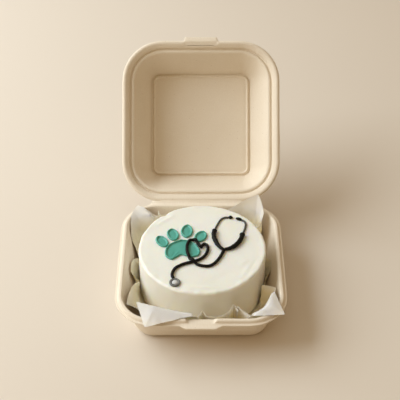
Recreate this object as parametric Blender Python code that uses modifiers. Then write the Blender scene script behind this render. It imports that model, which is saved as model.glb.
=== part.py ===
"""Bento cake in its open clamshell box of moulded pulp.

Metres, +Z up. The origin is the centre of the box's underside. +X runs to the right and +Y to the
back, where the lid is creased on to the tray. The lid stands open and leans back from upright.
"""

import math

import bmesh
import bpy
from mathutils import Matrix, Vector

MM = 0.001
GAP = 0.3 * MM
HALVINGS = 40

# Tray: half sizes at the lip's free edge, and the pulp's thickness
TRAY_HALF_WIDTH = 75.0 * MM
TRAY_HALF_DEPTH = 77.4 * MM
PULP_THICKNESS = 1.2 * MM

# The tray's upper face from its floor to its lip: (inset from the lip, height, corner radius) in mm
TRAY_PROFILE = (
    (20.0, 1.2, 12.5),
    (17.9, 1.6, 14.5),
    (16.0, 3.0, 16.5),
    (14.9, 5.4, 18.0),
    (7.6, 31.4, 26.6),
    (6.6, 34.8, 27.6),
    (6.0, 36.8, 28.2),
    (5.2, 37.8, 29.0),
    (4.2, 38.0, 30.0),
    (3.0, 37.8, 31.2),
    (2.2, 37.0, 32.0),
    (1.7, 35.8, 32.5),
    (1.1, 35.4, 33.1),
    (0.0, 35.2, 34.2),
)

# Points round each corner of the box, in degrees; the back corners also end the crease
CORNER_DEGREES = (0, 15, 30, 45, 60, 75, 90)
CREASE_CORNER_DEGREES = (0, 15, 30, 45, 60, 74, 77, 90)

# Front tongue of the tray, which runs out through a gap in the rim's bead
BEAD_TOP = 38.0 * MM
TONGUE_HEIGHT = 35.5 * MM
TONGUE_REACH = 3.6 * MM
TONGUE_TIP_HALF = 12.8 * MM
TONGUE_ROOT_HALF = 18.4 * MM
BEAD_GAP_HALF = 10.5 * MM
BEAD_END_HALF = 14.6 * MM

# Lid: its crease with the tray, its half sizes at the lip, and its lean
HINGE_Y = 79.0 * MM
HINGE_Z = 37.6 * MM
CREASE_HALF_WIDTH = 48.6 * MM
CREASE_END_MARGIN = 2.0 * MM
WEB_HEIGHT = 37.2 * MM
WEB_EDGE_Y = 78.0 * MM
LID_LEAN_FROM_UPRIGHT = math.radians(43.5)
LID_HALF_WIDTH = 77.0 * MM
LID_HALF_LENGTH = 79.0 * MM

# The lid's inner face from its panel to its lip: (inset from the lip, depth, corner radius) in mm
LID_PROFILE = (
    (30.9, 35.9, 4.6),
    (30.2, 35.2, 5.2),
    (29.5, 35.2, 5.8),
    (28.8, 36.0, 6.6),
    (27.8, 36.2, 7.6),
    (26.8, 35.2, 8.8),
    (25.8, 33.0, 10.0),
    (11.8, 6.6, 27.8),
    (10.8, 5.6, 28.8),
    (8.6, 5.4, 31.0),
    (7.7, 5.8, 31.9),
    (6.9, 5.1, 32.7),
    (3.4, 1.2, 36.2),
    (2.4, 0.3, 37.2),
    (1.4, 0.0, 38.2),
    (0.5, 0.6, 39.1),
    (0.0, 2.0, 39.6),
)

# Front tab of the lid and the slit behind it
TAB_DEPTH = 1.3 * MM
TAB_REACH = 3.3 * MM
TAB_HALF = 15.4 * MM
TAB_SHOULDER_HALF = 17.0 * MM
TAB_LIP_INSET = 3.5 * MM
SLIT_HALF = 13.2 * MM
SLIT_INSET = 4.6 * MM
SLIT_WIDTH = 0.9 * MM
CUTTER_HEIGHT = 12.0 * MM

# Cake: a straight-sided round with a crisp spread edge
CAKE_CENTRE = Vector((1.2, 0.9)) * MM
CAKE_RADIUS = 57.4 * MM
CAKE_BOTTOM = 2.4 * MM
CAKE_TOP = 51.0 * MM
CAKE_FOOT_HEIGHT = 4.0 * MM
CAKE_FOOT_INSET = 4.0 * MM
CAKE_STEPS = 48

# Paper liner: thickness, the height where its skirt starts, and its free edge as
# (angle round the cake, distance from the cake's axis, height) in degrees and mm
PAPER_THICKNESS = 0.3 * MM
PAPER_FLOOR = 1.8 * MM
PAPER_STATIONS = 40
SKIRT_HEIGHTS = (3.4 * MM, 7.0 * MM, 19.0 * MM, 30.0 * MM)
RIM_HEIGHT = 39.0 * MM
RIM_CLEARANCE = 2.5 * MM
COLLAR_DROP = 0.5 * MM
PAPER_EDGE = (
    (0, 63.0, 34.0),
    (22, 65.0, 36.5),
    (40, 80.0, 47.0),
    (52, 87.0, 54.0),
    (64, 78.0, 45.0),
    (90, 66.0, 37.0),
    (112, 69.0, 38.5),
    (124, 80.0, 43.0),
    (134, 89.0, 48.0),
    (146, 77.0, 43.0),
    (170, 62.5, 33.5),
    (188, 63.0, 35.5),
    (206, 68.0, 37.5),
    (222, 84.0, 41.0),
    (238, 94.5, 39.6),
    (250, 79.0, 40.0),
    (266, 68.0, 38.0),
    (286, 67.0, 40.5),
    (300, 72.0, 37.5),
    (316, 96.0, 40.0),
    (328, 76.0, 41.0),
    (344, 63.5, 35.0),
)

# Iced paw: heights above the cake, the four toes and the outline of the main pad
ICING_RIM = 1.8 * MM
ICING_HOLLOW = 0.9 * MM
TOE_STATIONS = 18
PAD_STATIONS = 40

# Each toe: centre x and y, half length, half width in mm, and the angle of its length
TOES = (
    (-35.4, 7.4, 7.2, 4.7, 114),
    (-25.7, 16.9, 7.4, 4.9, 106),
    (-12.9, 21.4, 7.9, 5.1, 87),
    (-0.4, 14.4, 6.9, 5.0, 63),
)
PAD_OUTLINE = (
    (-31.9, -6.3),
    (-30.7, 0.0),
    (-27.2, 4.8),
    (-23.0, 7.4),
    (-18.3, 9.2),
    (-13.7, 9.2),
    (-9.3, 7.8),
    (-5.8, 4.9),
    (-3.2, 0.6),
    (-1.2, -5.0),
    (-2.3, -9.7),
    (-7.6, -11.5),
    (-13.0, -10.4),
    (-17.6, -8.8),
    (-21.6, -11.6),
    (-26.2, -14.7),
    (-30.6, -12.0),
)

# Piped stethoscope: bead radii, and routes over the cake's top in mm
TUBE_RADIUS = 1.3 * MM
SLEEVE_RADIUS = 2.1 * MM
SLEEVE_NECK = 1.4 * MM
EAR_TUBE_RADIUS = 0.85 * MM
ROUTE_SPACING = 2.5 * MM
LIFT_REACH = 4.0 * MM
CHEST_CENTRE = Vector((-22.7, -43.2)) * MM
CHEST_RING_RADIUS = 3.8 * MM
CHEST_RING_BEAD = 1.0 * MM
CHEST_DISC_RADIUS = 2.4 * MM
CHEST_DISC_HEIGHT = 1.5 * MM
CHEST_DISC_SHOULDER = 0.35
CHEST_DISC_STEPS = 18

LOWER_TUBE_ROUTE = (
    (-24.2, -38.0),
    (-25.3, -33.9),
    (-24.5, -30.0),
    (-22.2, -25.7),
    (-18.3, -22.6),
    (-13.5, -20.2),
    (-8.4, -18.5),
    (-4.2, -16.8),
    (-0.2, -14.5),
    (3.2, -10.9),
    (5.6, -5.3),
    (6.2, -0.4),
    (4.9, 2.9),
    (3.0, 3.4),
)
UPPER_TUBE_ROUTE = (
    (-0.5, -2.6),
    (-1.6, 0.4),
    (-3.5, 5.0),
    (-5.8, 8.2),
    (-8.6, 9.5),
    (-11.0, 7.4),
    (-12.9, 2.5),
    (-13.1, -3.3),
    (-12.0, -9.0),
    (-10.2, -13.8),
    (-7.9, -17.8),
    (-5.4, -20.0),
    (-2.3, -22.0),
    (1.8, -23.4),
    (7.5, -23.3),
    (11.8, -20.2),
    (15.2, -15.4),
    (18.1, -9.8),
    (20.1, -4.9),
)
LEFT_SLEEVE_ROUTE = (
    (19.3, -2.2),
    (16.5, 0.7),
    (13.8, 6.0),
    (12.1, 11.9),
    (11.7, 17.5),
    (12.7, 22.4),
)
RIGHT_SLEEVE_ROUTE = (
    (22.4, -2.9),
    (25.4, -1.8),
    (29.8, 1.0),
    (33.9, 6.0),
    (36.7, 11.9),
    (37.9, 17.2),
)
LEFT_EAR_ROUTE = (
    (13.0, 23.4),
    (13.8, 26.6),
    (15.3, 30.6),
    (17.4, 35.2),
    (19.9, 38.8),
    (22.6, 40.0),
    (25.2, 40.0),
)
RIGHT_EAR_ROUTE = (
    (38.2, 18.2),
    (39.6, 22.4),
    (40.8, 27.0),
    (41.2, 31.2),
    (40.2, 34.6),
    (38.2, 36.3),
)
EAR_TIP_HALF = Vector((2.1, 1.4, 1.3)) * MM
LEFT_EAR_TIP = Vector((27.7, 39.8)) * MM
RIGHT_EAR_TIP = Vector((35.8, 37.6)) * MM
LEFT_EAR_TIP_TURN = math.radians(-4)
RIGHT_EAR_TIP_TURN = math.radians(152)

# Colours as seen in daylight
PULP_COLOUR = (216, 199, 170)
CREAM_COLOUR = (240, 238, 226)
TEAL_COLOUR = (88, 172, 150)
BLACK_COLOUR = (34, 33, 33)
GREY_COLOUR = (104, 106, 108)
SILVER_COLOUR = (214, 215, 216)
PAPER_COLOUR = (238, 233, 225)


def linear(channel):
    """One display colour channel, 0 to 255, as a linear value."""
    share = channel / 255
    if share <= 0.04045:
        return share / 12.92
    return ((share + 0.055) / 1.055) ** 2.4


def material(name, colour, roughness):
    """A plain finish for one piece."""
    finish = bpy.data.materials.new(name)
    finish.use_nodes = True
    shader = finish.node_tree.nodes["Principled BSDF"]
    shader.inputs["Base Color"].default_value = (*(linear(channel) for channel in colour), 1.0)
    shader.inputs["Roughness"].default_value = roughness
    shader.inputs["Metallic"].default_value = 0.0
    return finish


def clear_scene():
    for old in list(bpy.data.objects):
        bpy.data.objects.remove(old, do_unlink=True)


def new_collection(name):
    collection = bpy.data.collections.new(name)
    bpy.context.scene.collection.children.link(collection)
    return collection


def add_object(name, data, colour, roughness, collection):
    """Put one named piece with its own material in a collection."""
    piece = bpy.data.objects.new(name, data)
    data.materials.clear()
    data.materials.append(material(name + "_finish", colour, roughness))
    collection.objects.link(piece)
    return piece


def claim_primitive(name, colour, roughness, collection):
    """Name the primitive that was just added and move it to a collection."""
    piece = bpy.context.active_object
    piece.name = name
    for holder in list(piece.users_collection):
        holder.objects.unlink(piece)
    collection.objects.link(piece)
    piece.data.materials.clear()
    piece.data.materials.append(material(name + "_finish", colour, roughness))
    return piece


def smooth_shade(mesh, sharp_degrees=40):
    mesh.shade_smooth()
    mesh.set_sharp_from_angle(angle=math.radians(sharp_degrees))


def ring_mesh(name, rings, cap_first=False, cap_last=False):
    """Join rings of equally many points, each to the next, into one surface."""
    shape = bmesh.new()
    loops = [[shape.verts.new(point) for point in ring] for ring in rings]
    count = len(loops[0])
    for inner, outer in zip(loops[:-1], loops[1:]):
        for index in range(count):
            following = (index + 1) % count
            shape.faces.new((inner[index], outer[index], outer[following], inner[following]))
    if cap_first:
        shape.faces.new(loops[0])
    if cap_last:
        shape.faces.new(loops[-1][::-1])
    if cap_first and cap_last:
        bmesh.ops.recalc_face_normals(shape, faces=shape.faces)
    mesh = bpy.data.meshes.new(name)
    shape.to_mesh(mesh)
    shape.free()
    return mesh


def thicken(piece, thickness, offset):
    """Give an open surface its thickness."""
    wall = piece.modifiers.new("thickness", "SOLIDIFY")
    wall.thickness = thickness
    wall.offset = offset
    wall.use_even_offset = True
    return wall


def corner_angles(quarter):
    """Angles of one corner's points, with two close together at each end of the crease."""
    angles = CORNER_DEGREES
    if quarter == 0:
        angles = CREASE_CORNER_DEGREES
    if quarter == 1:
        angles = [90 - angle for angle in reversed(CREASE_CORNER_DEGREES)]
    return [math.radians(90 * quarter + angle) for angle in angles]


def box_outline(half_x, half_y, radius, front_marks):
    """A rounded rectangle, anticlockwise, with points at front_marks along its front edge."""
    points = []
    for quarter, (side_x, side_y) in enumerate(((1, 1), (-1, 1), (-1, -1), (1, -1))):
        centre = Vector((side_x * (half_x - radius), side_y * (half_y - radius)))
        for angle in corner_angles(quarter):
            points.append(centre + radius * Vector((math.cos(angle), math.sin(angle))))
        if quarter == 2:
            points.extend(Vector((mark, -half_y)) for mark in front_marks)
    return points


def both_sides(*marks):
    """Marks mirrored about the middle, from left to right."""
    return [-mark for mark in sorted(marks, reverse=True)] + sorted(marks)


def share_between(value, low, high):
    return min(1.0, max(0.0, (value - low) / (high - low)))


def tray_point(point, inset, height):
    """One point of the tray's upper face, with its tongue at the front and its web at the back."""
    x, y = point
    if y < 0 and abs(x) <= TONGUE_ROOT_HALF:
        ramp = share_between(abs(x), BEAD_GAP_HALF, BEAD_END_HALF)
        height = min(height, TONGUE_HEIGHT + ramp * (BEAD_TOP - TONGUE_HEIGHT))
        if inset == 0:
            y -= TONGUE_REACH * share_between(-abs(x), -TONGUE_ROOT_HALF, -TONGUE_TIP_HALF)
    if y > 0 and abs(x) <= CREASE_HALF_WIDTH and inset == 0:
        y = WEB_EDGE_Y
        height = WEB_HEIGHT
    return Vector((x, y, height))


def build_tray(parts):
    marks = both_sides(BEAD_GAP_HALF, TONGUE_TIP_HALF, BEAD_END_HALF, TONGUE_ROOT_HALF)
    rings = []
    for inset, height, radius in TRAY_PROFILE:
        half_x = TRAY_HALF_WIDTH - inset * MM
        half_y = TRAY_HALF_DEPTH - inset * MM
        outline = box_outline(half_x, half_y, radius * MM, marks)
        rings.append([tray_point(point, inset, height * MM) for point in outline])
    mesh = ring_mesh("box_base", rings, cap_first=True)
    tray = add_object("box_base", mesh, PULP_COLOUR, 0.85, parts)
    thicken(tray, PULP_THICKNESS, -1)
    smooth_shade(mesh)


def lid_point(point, inset, depth):
    """One point of the lid's inner face in its closed place, measured from the crease."""
    x, y = point
    if y < 0 and abs(x) <= TAB_HALF and inset * MM <= TAB_LIP_INSET:
        depth = TAB_DEPTH
        if inset == 0:
            y -= TAB_REACH
    if y > 0 and abs(x) <= CREASE_HALF_WIDTH - CREASE_END_MARGIN and inset == 0:
        y = LID_HALF_LENGTH - GAP
        depth = TAB_DEPTH
    return Vector((x, y - LID_HALF_LENGTH, depth))


def build_lid(parts, cutters):
    marks = both_sides(TAB_HALF, TAB_SHOULDER_HALF)
    rings = []
    for inset, depth, radius in LID_PROFILE:
        half_x = LID_HALF_WIDTH - inset * MM
        half_y = LID_HALF_LENGTH - inset * MM
        outline = box_outline(half_x, half_y, radius * MM, marks)
        rings.append([lid_point(point, inset, depth * MM) for point in outline])
    mesh = ring_mesh("box_lid", rings, cap_first=True)
    mesh.flip_normals()
    lid = add_object("box_lid", mesh, PULP_COLOUR, 0.85, parts)
    thicken(lid, PULP_THICKNESS, -1)
    smooth_shade(mesh)

    crease = bpy.data.objects.new("lid_crease", None)
    parts.objects.link(crease)
    crease.location = (0.0, HINGE_Y, HINGE_Z)
    crease.rotation_euler = (-(math.pi / 2 + LID_LEAN_FROM_UPRIGHT), 0.0, 0.0)
    lid.parent = crease

    bpy.ops.mesh.primitive_cube_add(size=1.0)
    cutter = claim_primitive("slit_cutter", PULP_COLOUR, 0.85, cutters)
    cutter.dimensions = (2 * SLIT_HALF, SLIT_WIDTH, CUTTER_HEIGHT)
    cutter.location = (0.0, -(2 * LID_HALF_LENGTH - SLIT_INSET), TAB_DEPTH)
    cutter.parent = crease
    cutter.hide_render = True
    cutter.display_type = "WIRE"
    slit = lid.modifiers.new("slit", "BOOLEAN")
    slit.operation = "DIFFERENCE"
    slit.solver = "EXACT"
    slit.object = cutter


def turned(name, profile, steps, centre, colour, roughness, parts):
    """A turned piece from a profile of (radius, height) points, top to bottom."""
    shape = bmesh.new()
    points = [shape.verts.new((radius, 0.0, height)) for radius, height in profile]
    for upper, lower in zip(points[:-1], points[1:]):
        shape.edges.new((upper, lower))
    mesh = bpy.data.meshes.new(name)
    shape.to_mesh(mesh)
    shape.free()
    piece = add_object(name, mesh, colour, roughness, parts)
    piece.location = (centre.x, centre.y, 0.0)
    turn = piece.modifiers.new("turn", "SCREW")
    turn.steps = steps
    turn.render_steps = steps
    turn.use_merge_vertices = True
    turn.merge_threshold = 0.00001
    turn.use_smooth_shade = True
    return piece


def build_cake(parts):
    """The iced round: flat top, a slight lip where the spread edge was pulled in, straight side."""
    profile = (
        (0.0, CAKE_TOP),
        (CAKE_RADIUS - 6.0 * MM, CAKE_TOP),
        (CAKE_RADIUS - 2.6 * MM, CAKE_TOP + 0.2 * MM),
        (CAKE_RADIUS - 1.1 * MM, CAKE_TOP - 0.1 * MM),
        (CAKE_RADIUS - 0.3 * MM, CAKE_TOP - 0.9 * MM),
        (CAKE_RADIUS, CAKE_TOP - 2.2 * MM),
        (CAKE_RADIUS, CAKE_BOTTOM + CAKE_FOOT_HEIGHT),
        (CAKE_RADIUS - 0.4 * CAKE_FOOT_INSET, CAKE_BOTTOM + 0.3 * CAKE_FOOT_HEIGHT),
        (CAKE_RADIUS - CAKE_FOOT_INSET, CAKE_BOTTOM),
        (0.0, CAKE_BOTTOM),
    )
    turned("cake", profile, CAKE_STEPS, CAKE_CENTRE, CREAM_COLOUR, 0.55, parts)


def wrapped_value(angle, table, column):
    """A value of the paper's edge at an angle, eased between the table's rows."""
    rows = [(row[0] - 360, *row[1:]) for row in table[-1:]] + list(table)
    rows += [(row[0] + 360, *row[1:]) for row in table[:1]]
    for before, after in zip(rows[:-1], rows[1:]):
        if before[0] <= angle <= after[0]:
            share = (angle - before[0]) / (after[0] - before[0])
            eased = share * share * (3 - 2 * share)
            return before[column] + eased * (after[column] - before[column])
    return rows[0][column]


def reach_to_wall(angle, height):
    """Distance from the cake's axis to the tray's upper face at a height."""
    half_x, half_y, radius = tray_section(height)
    direction = Vector((math.cos(angle), math.sin(angle)))
    low, high = 0.0, 2 * TRAY_HALF_DEPTH
    for _ in range(HALVINGS):
        middle = (low + high) / 2
        x, y = (abs(value) for value in CAKE_CENTRE + middle * direction)
        corner = Vector((max(0.0, x - half_x + radius), max(0.0, y - half_y + radius)))
        inside = x < half_x and y < half_y and corner.length < radius
        low, high = (middle, high) if inside else (low, middle)
    return low


def tray_section(height):
    """Half sizes and corner radius inside the tray at a height, below its bead's top."""
    for lower, upper in zip(TRAY_PROFILE[:-1], TRAY_PROFILE[1:]):
        if lower[1] * MM <= height < upper[1] * MM:
            share = (height / MM - lower[1]) / (upper[1] - lower[1])
            inset = (lower[0] + share * (upper[0] - lower[0])) * MM
            radius = (lower[2] + share * (upper[2] - lower[2])) * MM
            return TRAY_HALF_WIDTH - inset, TRAY_HALF_DEPTH - inset, radius
    return TRAY_HALF_WIDTH - 6 * MM, TRAY_HALF_DEPTH - 6 * MM, 28.2 * MM


def build_liner(parts):
    """One square of greaseproof paper: flat under the cake, its edges standing up all round."""
    foot_radius = CAKE_RADIUS - CAKE_FOOT_INSET
    floor_places = [
        (foot_radius - 2.0 * MM, PAPER_FLOOR),
        (foot_radius + 0.6 * MM, PAPER_FLOOR + PAPER_THICKNESS / 2),
    ]
    rings = [[] for _ in range(len(SKIRT_HEIGHTS) + len(floor_places) + 2)]
    for station in range(PAPER_STATIONS):
        degrees = 360 * station / PAPER_STATIONS
        angle = math.radians(degrees)
        edge_reach = wrapped_value(degrees, PAPER_EDGE, 1) * MM
        edge_height = wrapped_value(degrees, PAPER_EDGE, 2) * MM
        folds = 0.16 * math.sin(5 * angle + 0.6) + 0.1 * math.sin(11 * angle)
        places = list(floor_places)
        for height in SKIRT_HEIGHTS:
            foot = 1 - share_between(height, CAKE_BOTTOM, CAKE_BOTTOM + CAKE_FOOT_HEIGHT)
            inner = CAKE_RADIUS - foot * CAKE_FOOT_INSET / 2 + PAPER_THICKNESS + GAP
            outer = reach_to_wall(angle, height) - PAPER_THICKNESS - GAP
            spread = 0.5 + folds * share_between(height, SKIRT_HEIGHTS[0], SKIRT_HEIGHTS[2])
            places.append((inner + spread * (outer - inner), height))
        at_rim = min(reach_to_wall(angle, RIM_HEIGHT), edge_reach) - RIM_CLEARANCE
        collar_height = min(RIM_HEIGHT, edge_height - COLLAR_DROP)
        places.append((max(at_rim, places[-1][0]), collar_height))
        places.append((edge_reach, edge_height))
        for ring, (reach, height) in zip(rings, places):
            x, y = CAKE_CENTRE + reach * Vector((math.cos(angle), math.sin(angle)))
            ring.append(Vector((x, y, height)))
    mesh = ring_mesh("paper_liner", rings, cap_first=True)
    liner = add_object("paper_liner", mesh, PAPER_COLOUR, 0.5, parts)
    thicken(liner, PAPER_THICKNESS, 0)
    smooth_shade(mesh, 60)


def smooth_route(controls, spacing, closed=False):
    """Points about spacing apart on the smooth curve through the controls, in metres."""
    points = [Vector(control) * MM for control in controls]
    if closed:
        padded = [points[-1], *points, points[0], points[1]]
    else:
        padded = [2 * points[0] - points[1], *points, 2 * points[-1] - points[-2]]
    route = []
    for before, start, end, after in zip(padded[:-3], padded[1:-2], padded[2:-1], padded[3:]):
        steps = max(1, round((end - start).length / spacing))
        for step in range(steps):
            t = step / steps
            route.append(
                0.5
                * (
                    2 * start
                    + t * (end - before)
                    + t * t * (2 * before - 5 * start + 4 * end - after)
                    + t * t * t * (3 * start - before - 3 * end + after)
                )
            )
    if not closed:
        route.append(points[-1])
    return route


def inward_offset(outline, distance):
    """An anticlockwise outline moved inward along its own normals."""
    count = len(outline)
    moved = []
    for index, point in enumerate(outline):
        along = outline[(index + 1) % count] - outline[index - 1]
        inward = Vector((-along.y, along.x)).normalized()
        moved.append(point + distance * inward)
    return moved


def iced_shape(name, outline, parts):
    """A flooded icing shape: rounded rim with a shallow hollow inside it."""
    floor = CAKE_TOP + GAP
    steps = (
        (0.5 * MM, 0.0),
        (0.0, 0.4 * ICING_RIM),
        (0.4 * MM, 0.85 * ICING_RIM),
        (1.0 * MM, ICING_RIM),
        (1.6 * MM, 0.9 * ICING_RIM),
        (2.2 * MM, ICING_HOLLOW),
    )
    rings = []
    for inset, height in steps:
        ring = inward_offset(outline, inset)
        rings.append([Vector((point.x, point.y, floor + height)) for point in ring])
    mesh = ring_mesh(name, rings, cap_first=True, cap_last=True)
    smooth_shade(mesh, 60)
    add_object(name, mesh, TEAL_COLOUR, 0.5, parts)


def toe_outline(toe):
    x, y, half_length, half_width, degrees = toe
    along = Vector((math.cos(math.radians(degrees)), math.sin(math.radians(degrees))))
    across = Vector((-along.y, along.x))
    outline = []
    for station in range(TOE_STATIONS):
        angle = 2 * math.pi * station / TOE_STATIONS
        offset = half_length * math.cos(angle) * along + half_width * math.sin(angle) * across
        outline.append((Vector((x, y)) + offset) * MM)
    return outline


def anticlockwise(outline):
    """The outline, turned round if it ran clockwise."""
    area = sum(a.x * b.y - a.y * b.x for a, b in zip(outline, outline[1:] + outline[:1]))
    return outline if area > 0 else outline[::-1]


def pad_outline():
    """The main pad, thinned to an even number of stations round its smooth outline."""
    dense = smooth_route(PAD_OUTLINE, 0.4 * MM, closed=True)
    picks = [round(len(dense) * station / PAD_STATIONS) % len(dense) for station in range(PAD_STATIONS)]
    return anticlockwise([dense[pick] for pick in picks])


def build_paw(parts):
    outlines = [anticlockwise(toe_outline(toe)) for toe in TOES]
    for number, outline in enumerate(outlines, start=1):
        iced_shape(f"paw_toe_{number}", outline, parts)
    pad = pad_outline()
    iced_shape("paw_pad", pad, parts)
    return [*outlines, pad]


def inside(outline, point):
    """Whether a point lies inside an outline."""
    crossings = 0
    for a, b in zip(outline, outline[1:] + outline[:1]):
        if (a.y > point.y) != (b.y > point.y):
            if point.x < a.x + (point.y - a.y) * (b.x - a.x) / (b.y - a.y):
                crossings += 1
    return crossings % 2 == 1


def support_under(point, reach, outlines, beads):
    """Height of what lies under a piped bead at a point, above the cake's top."""
    height = 0.0
    for outline in outlines:
        if inside(outline, point) or min((point - corner).length for corner in outline) < reach:
            height = max(height, ICING_RIM + GAP)
    for bead in beads:
        if min((point - centre).length for centre in bead) < reach + TUBE_RADIUS:
            height = max(height, 2 * TUBE_RADIUS + GAP)
    return height


def lifted_route(route, radius, outlines=(), beads=()):
    """A route laid over what is under it, rising and falling smoothly."""
    reach = radius + 2 * GAP
    levels = [support_under(point, reach, outlines, beads) for point in route]
    window = math.ceil(LIFT_REACH / ROUTE_SPACING)
    count = len(route)
    raised = []
    for index in range(count):
        raised.append(max(levels[max(0, index - window) : index + window + 1]))
    placed = []
    for index, point in enumerate(route):
        near = raised[max(0, index - 1) : index + 2]
        height = max(levels[index], sum(near) / len(near))
        placed.append(Vector((point.x, point.y, CAKE_TOP + GAP + radius + height)))
    return placed


def tube(name, route, radii, colour, parts):
    """A piped bead along a route, with its own radius at each point."""
    curve = bpy.data.curves.new(name, "CURVE")
    curve.dimensions = "3D"
    curve.bevel_depth = 1.0
    curve.bevel_resolution = 2
    curve.use_fill_caps = True
    spline = curve.splines.new("POLY")
    spline.points.add(len(route) - 1)
    for knot, point, radius in zip(spline.points, route, radii):
        knot.co = (*point, 1.0)
        knot.radius = radius
    return add_object(name, curve, colour, 0.45, parts)


def sleeve_radii(count):
    """A sleeve that swells from its narrow neck at the fork to its full end."""
    radii = []
    for index in range(count):
        share = index / (count - 1)
        swell = share_between(share, 0.0, 0.45)
        radii.append(SLEEVE_NECK + (SLEEVE_RADIUS - SLEEVE_NECK) * swell * swell * (3 - 2 * swell))
    return radii


def build_stethoscope(outlines, parts):
    lower = smooth_route(LOWER_TUBE_ROUTE, ROUTE_SPACING)
    upper = smooth_route(UPPER_TUBE_ROUTE, ROUTE_SPACING)
    even = [TUBE_RADIUS] * (len(lower) + len(upper))
    tube("tube_lower", lifted_route(lower, TUBE_RADIUS, outlines), even, BLACK_COLOUR, parts)
    over = lifted_route(upper, TUBE_RADIUS, outlines, [lower])
    tube("tube_upper", over, even, BLACK_COLOUR, parts)

    for side, controls in (("left", LEFT_SLEEVE_ROUTE), ("right", RIGHT_SLEEVE_ROUTE)):
        route = smooth_route(controls, ROUTE_SPACING)
        radii = sleeve_radii(len(route))
        laid = [Vector((p.x, p.y, CAKE_TOP + GAP + SLEEVE_RADIUS)) for p in route]
        tube(f"sleeve_{side}", laid, radii, BLACK_COLOUR, parts)

    for side, controls in (("left", LEFT_EAR_ROUTE), ("right", RIGHT_EAR_ROUTE)):
        route = smooth_route(controls, ROUTE_SPACING)
        laid = lifted_route(route, EAR_TUBE_RADIUS)
        tube(f"ear_tube_{side}", laid, [EAR_TUBE_RADIUS] * len(laid), GREY_COLOUR, parts)

    ends = (("left", LEFT_EAR_TIP, LEFT_EAR_TIP_TURN), ("right", RIGHT_EAR_TIP, RIGHT_EAR_TIP_TURN))
    for side, centre, turn in ends:
        height = CAKE_TOP + GAP + EAR_TIP_HALF.z
        bpy.ops.mesh.primitive_uv_sphere_add(segments=12, ring_count=8, radius=1.0)
        tip = claim_primitive(f"ear_tip_{side}", BLACK_COLOUR, 0.45, parts)
        tip.data.transform(Matrix.Diagonal((*EAR_TIP_HALF, 1.0)))
        tip.data.shade_smooth()
        tip.location = (centre.x, centre.y, height)
        tip.rotation_euler = (0.0, 0.0, turn)


def build_chestpiece(parts):
    bpy.ops.mesh.primitive_torus_add(
        major_radius=CHEST_RING_RADIUS,
        minor_radius=CHEST_RING_BEAD,
        major_segments=20,
        minor_segments=8,
        location=(CHEST_CENTRE.x, CHEST_CENTRE.y, CAKE_TOP + GAP + CHEST_RING_BEAD),
    )
    ring = claim_primitive("chest_ring", GREY_COLOUR, 0.4, parts)
    ring.data.shade_smooth()
    floor = CAKE_TOP + GAP
    shoulder = CHEST_DISC_SHOULDER * CHEST_DISC_HEIGHT
    profile = []
    for degrees in (0, 25, 50, 75, 90):
        angle = math.radians(degrees)
        dome = (CHEST_DISC_HEIGHT - shoulder) * math.cos(angle)
        profile.append((CHEST_DISC_RADIUS * math.sin(angle), floor + shoulder + dome))
    profile += [(CHEST_DISC_RADIUS, floor), (0.0, floor)]
    turned("chest_disc", profile, CHEST_DISC_STEPS, CHEST_CENTRE, SILVER_COLOUR, 0.35, parts)


clear_scene()
part_collection = new_collection("bento_cake")
cutter_collection = new_collection("cutters")
build_tray(part_collection)
build_lid(part_collection, cutter_collection)
build_cake(part_collection)
build_liner(part_collection)
paw_outlines = build_paw(part_collection)
build_stethoscope(paw_outlines, part_collection)
build_chestpiece(part_collection)
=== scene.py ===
"""Bento cake with an iced paw and stethoscope, in its open clamshell box of moulded pulp."""

import math

import bmesh
import bpy
from mathutils import Matrix, Vector, noise


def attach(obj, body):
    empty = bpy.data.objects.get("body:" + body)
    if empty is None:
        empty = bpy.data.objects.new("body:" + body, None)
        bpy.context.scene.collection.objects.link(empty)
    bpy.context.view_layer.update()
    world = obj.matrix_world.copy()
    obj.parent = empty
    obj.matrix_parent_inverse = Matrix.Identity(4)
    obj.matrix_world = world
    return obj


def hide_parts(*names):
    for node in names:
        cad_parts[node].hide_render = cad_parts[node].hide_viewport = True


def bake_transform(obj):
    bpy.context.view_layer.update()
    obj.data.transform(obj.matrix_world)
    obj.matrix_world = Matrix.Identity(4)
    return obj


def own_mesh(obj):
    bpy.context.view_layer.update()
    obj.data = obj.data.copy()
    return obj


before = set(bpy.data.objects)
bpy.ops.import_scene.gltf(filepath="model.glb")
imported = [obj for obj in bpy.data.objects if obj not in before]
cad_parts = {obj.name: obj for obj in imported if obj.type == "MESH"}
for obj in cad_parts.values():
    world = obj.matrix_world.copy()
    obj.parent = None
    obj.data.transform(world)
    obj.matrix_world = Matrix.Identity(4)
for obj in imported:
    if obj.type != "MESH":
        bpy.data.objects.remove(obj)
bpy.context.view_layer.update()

scene = bpy.context.scene
scene.view_settings.view_transform = "Standard"

# The box is seen from in front and from well above through a long lens, so that the whole top of
# the cake and the inside of the leaning lid show.
MM = 0.001
SENSOR_WIDTH = 36.0
LENS = 83.36
CAMERA_PLACE = (-0.93, -598.0, 633.1)
CAMERA_TILT = 48.75
camera_data = bpy.data.cameras.new("camera")
camera_data.sensor_width = SENSOR_WIDTH
camera_data.lens = LENS
camera_data.clip_start = 0.02
camera = bpy.data.objects.new("camera", camera_data)
camera.location = [value * MM for value in CAMERA_PLACE]
camera.rotation_euler = (math.radians(CAMERA_TILT), 0.0, 0.0)
scene.collection.objects.link(camera)
scene.camera = camera

# The box stands on a plain pale table top in soft daylight. A broad window is high on the left and
# a little behind, a pale wall and the ceiling send back some of its light, and the warm room fills
# the shadows.
TABLE_COLOUR = (0.745, 0.68, 0.60)
TABLE_ROUGHNESS = 0.9
TABLE_HALF = 3.0
ROOM_COLOUR = (1.0, 0.68, 0.34)
ROOM_STRENGTH = 0.34
LIT_POINT = Vector((0.0, 0.0, 0.03))
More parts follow.
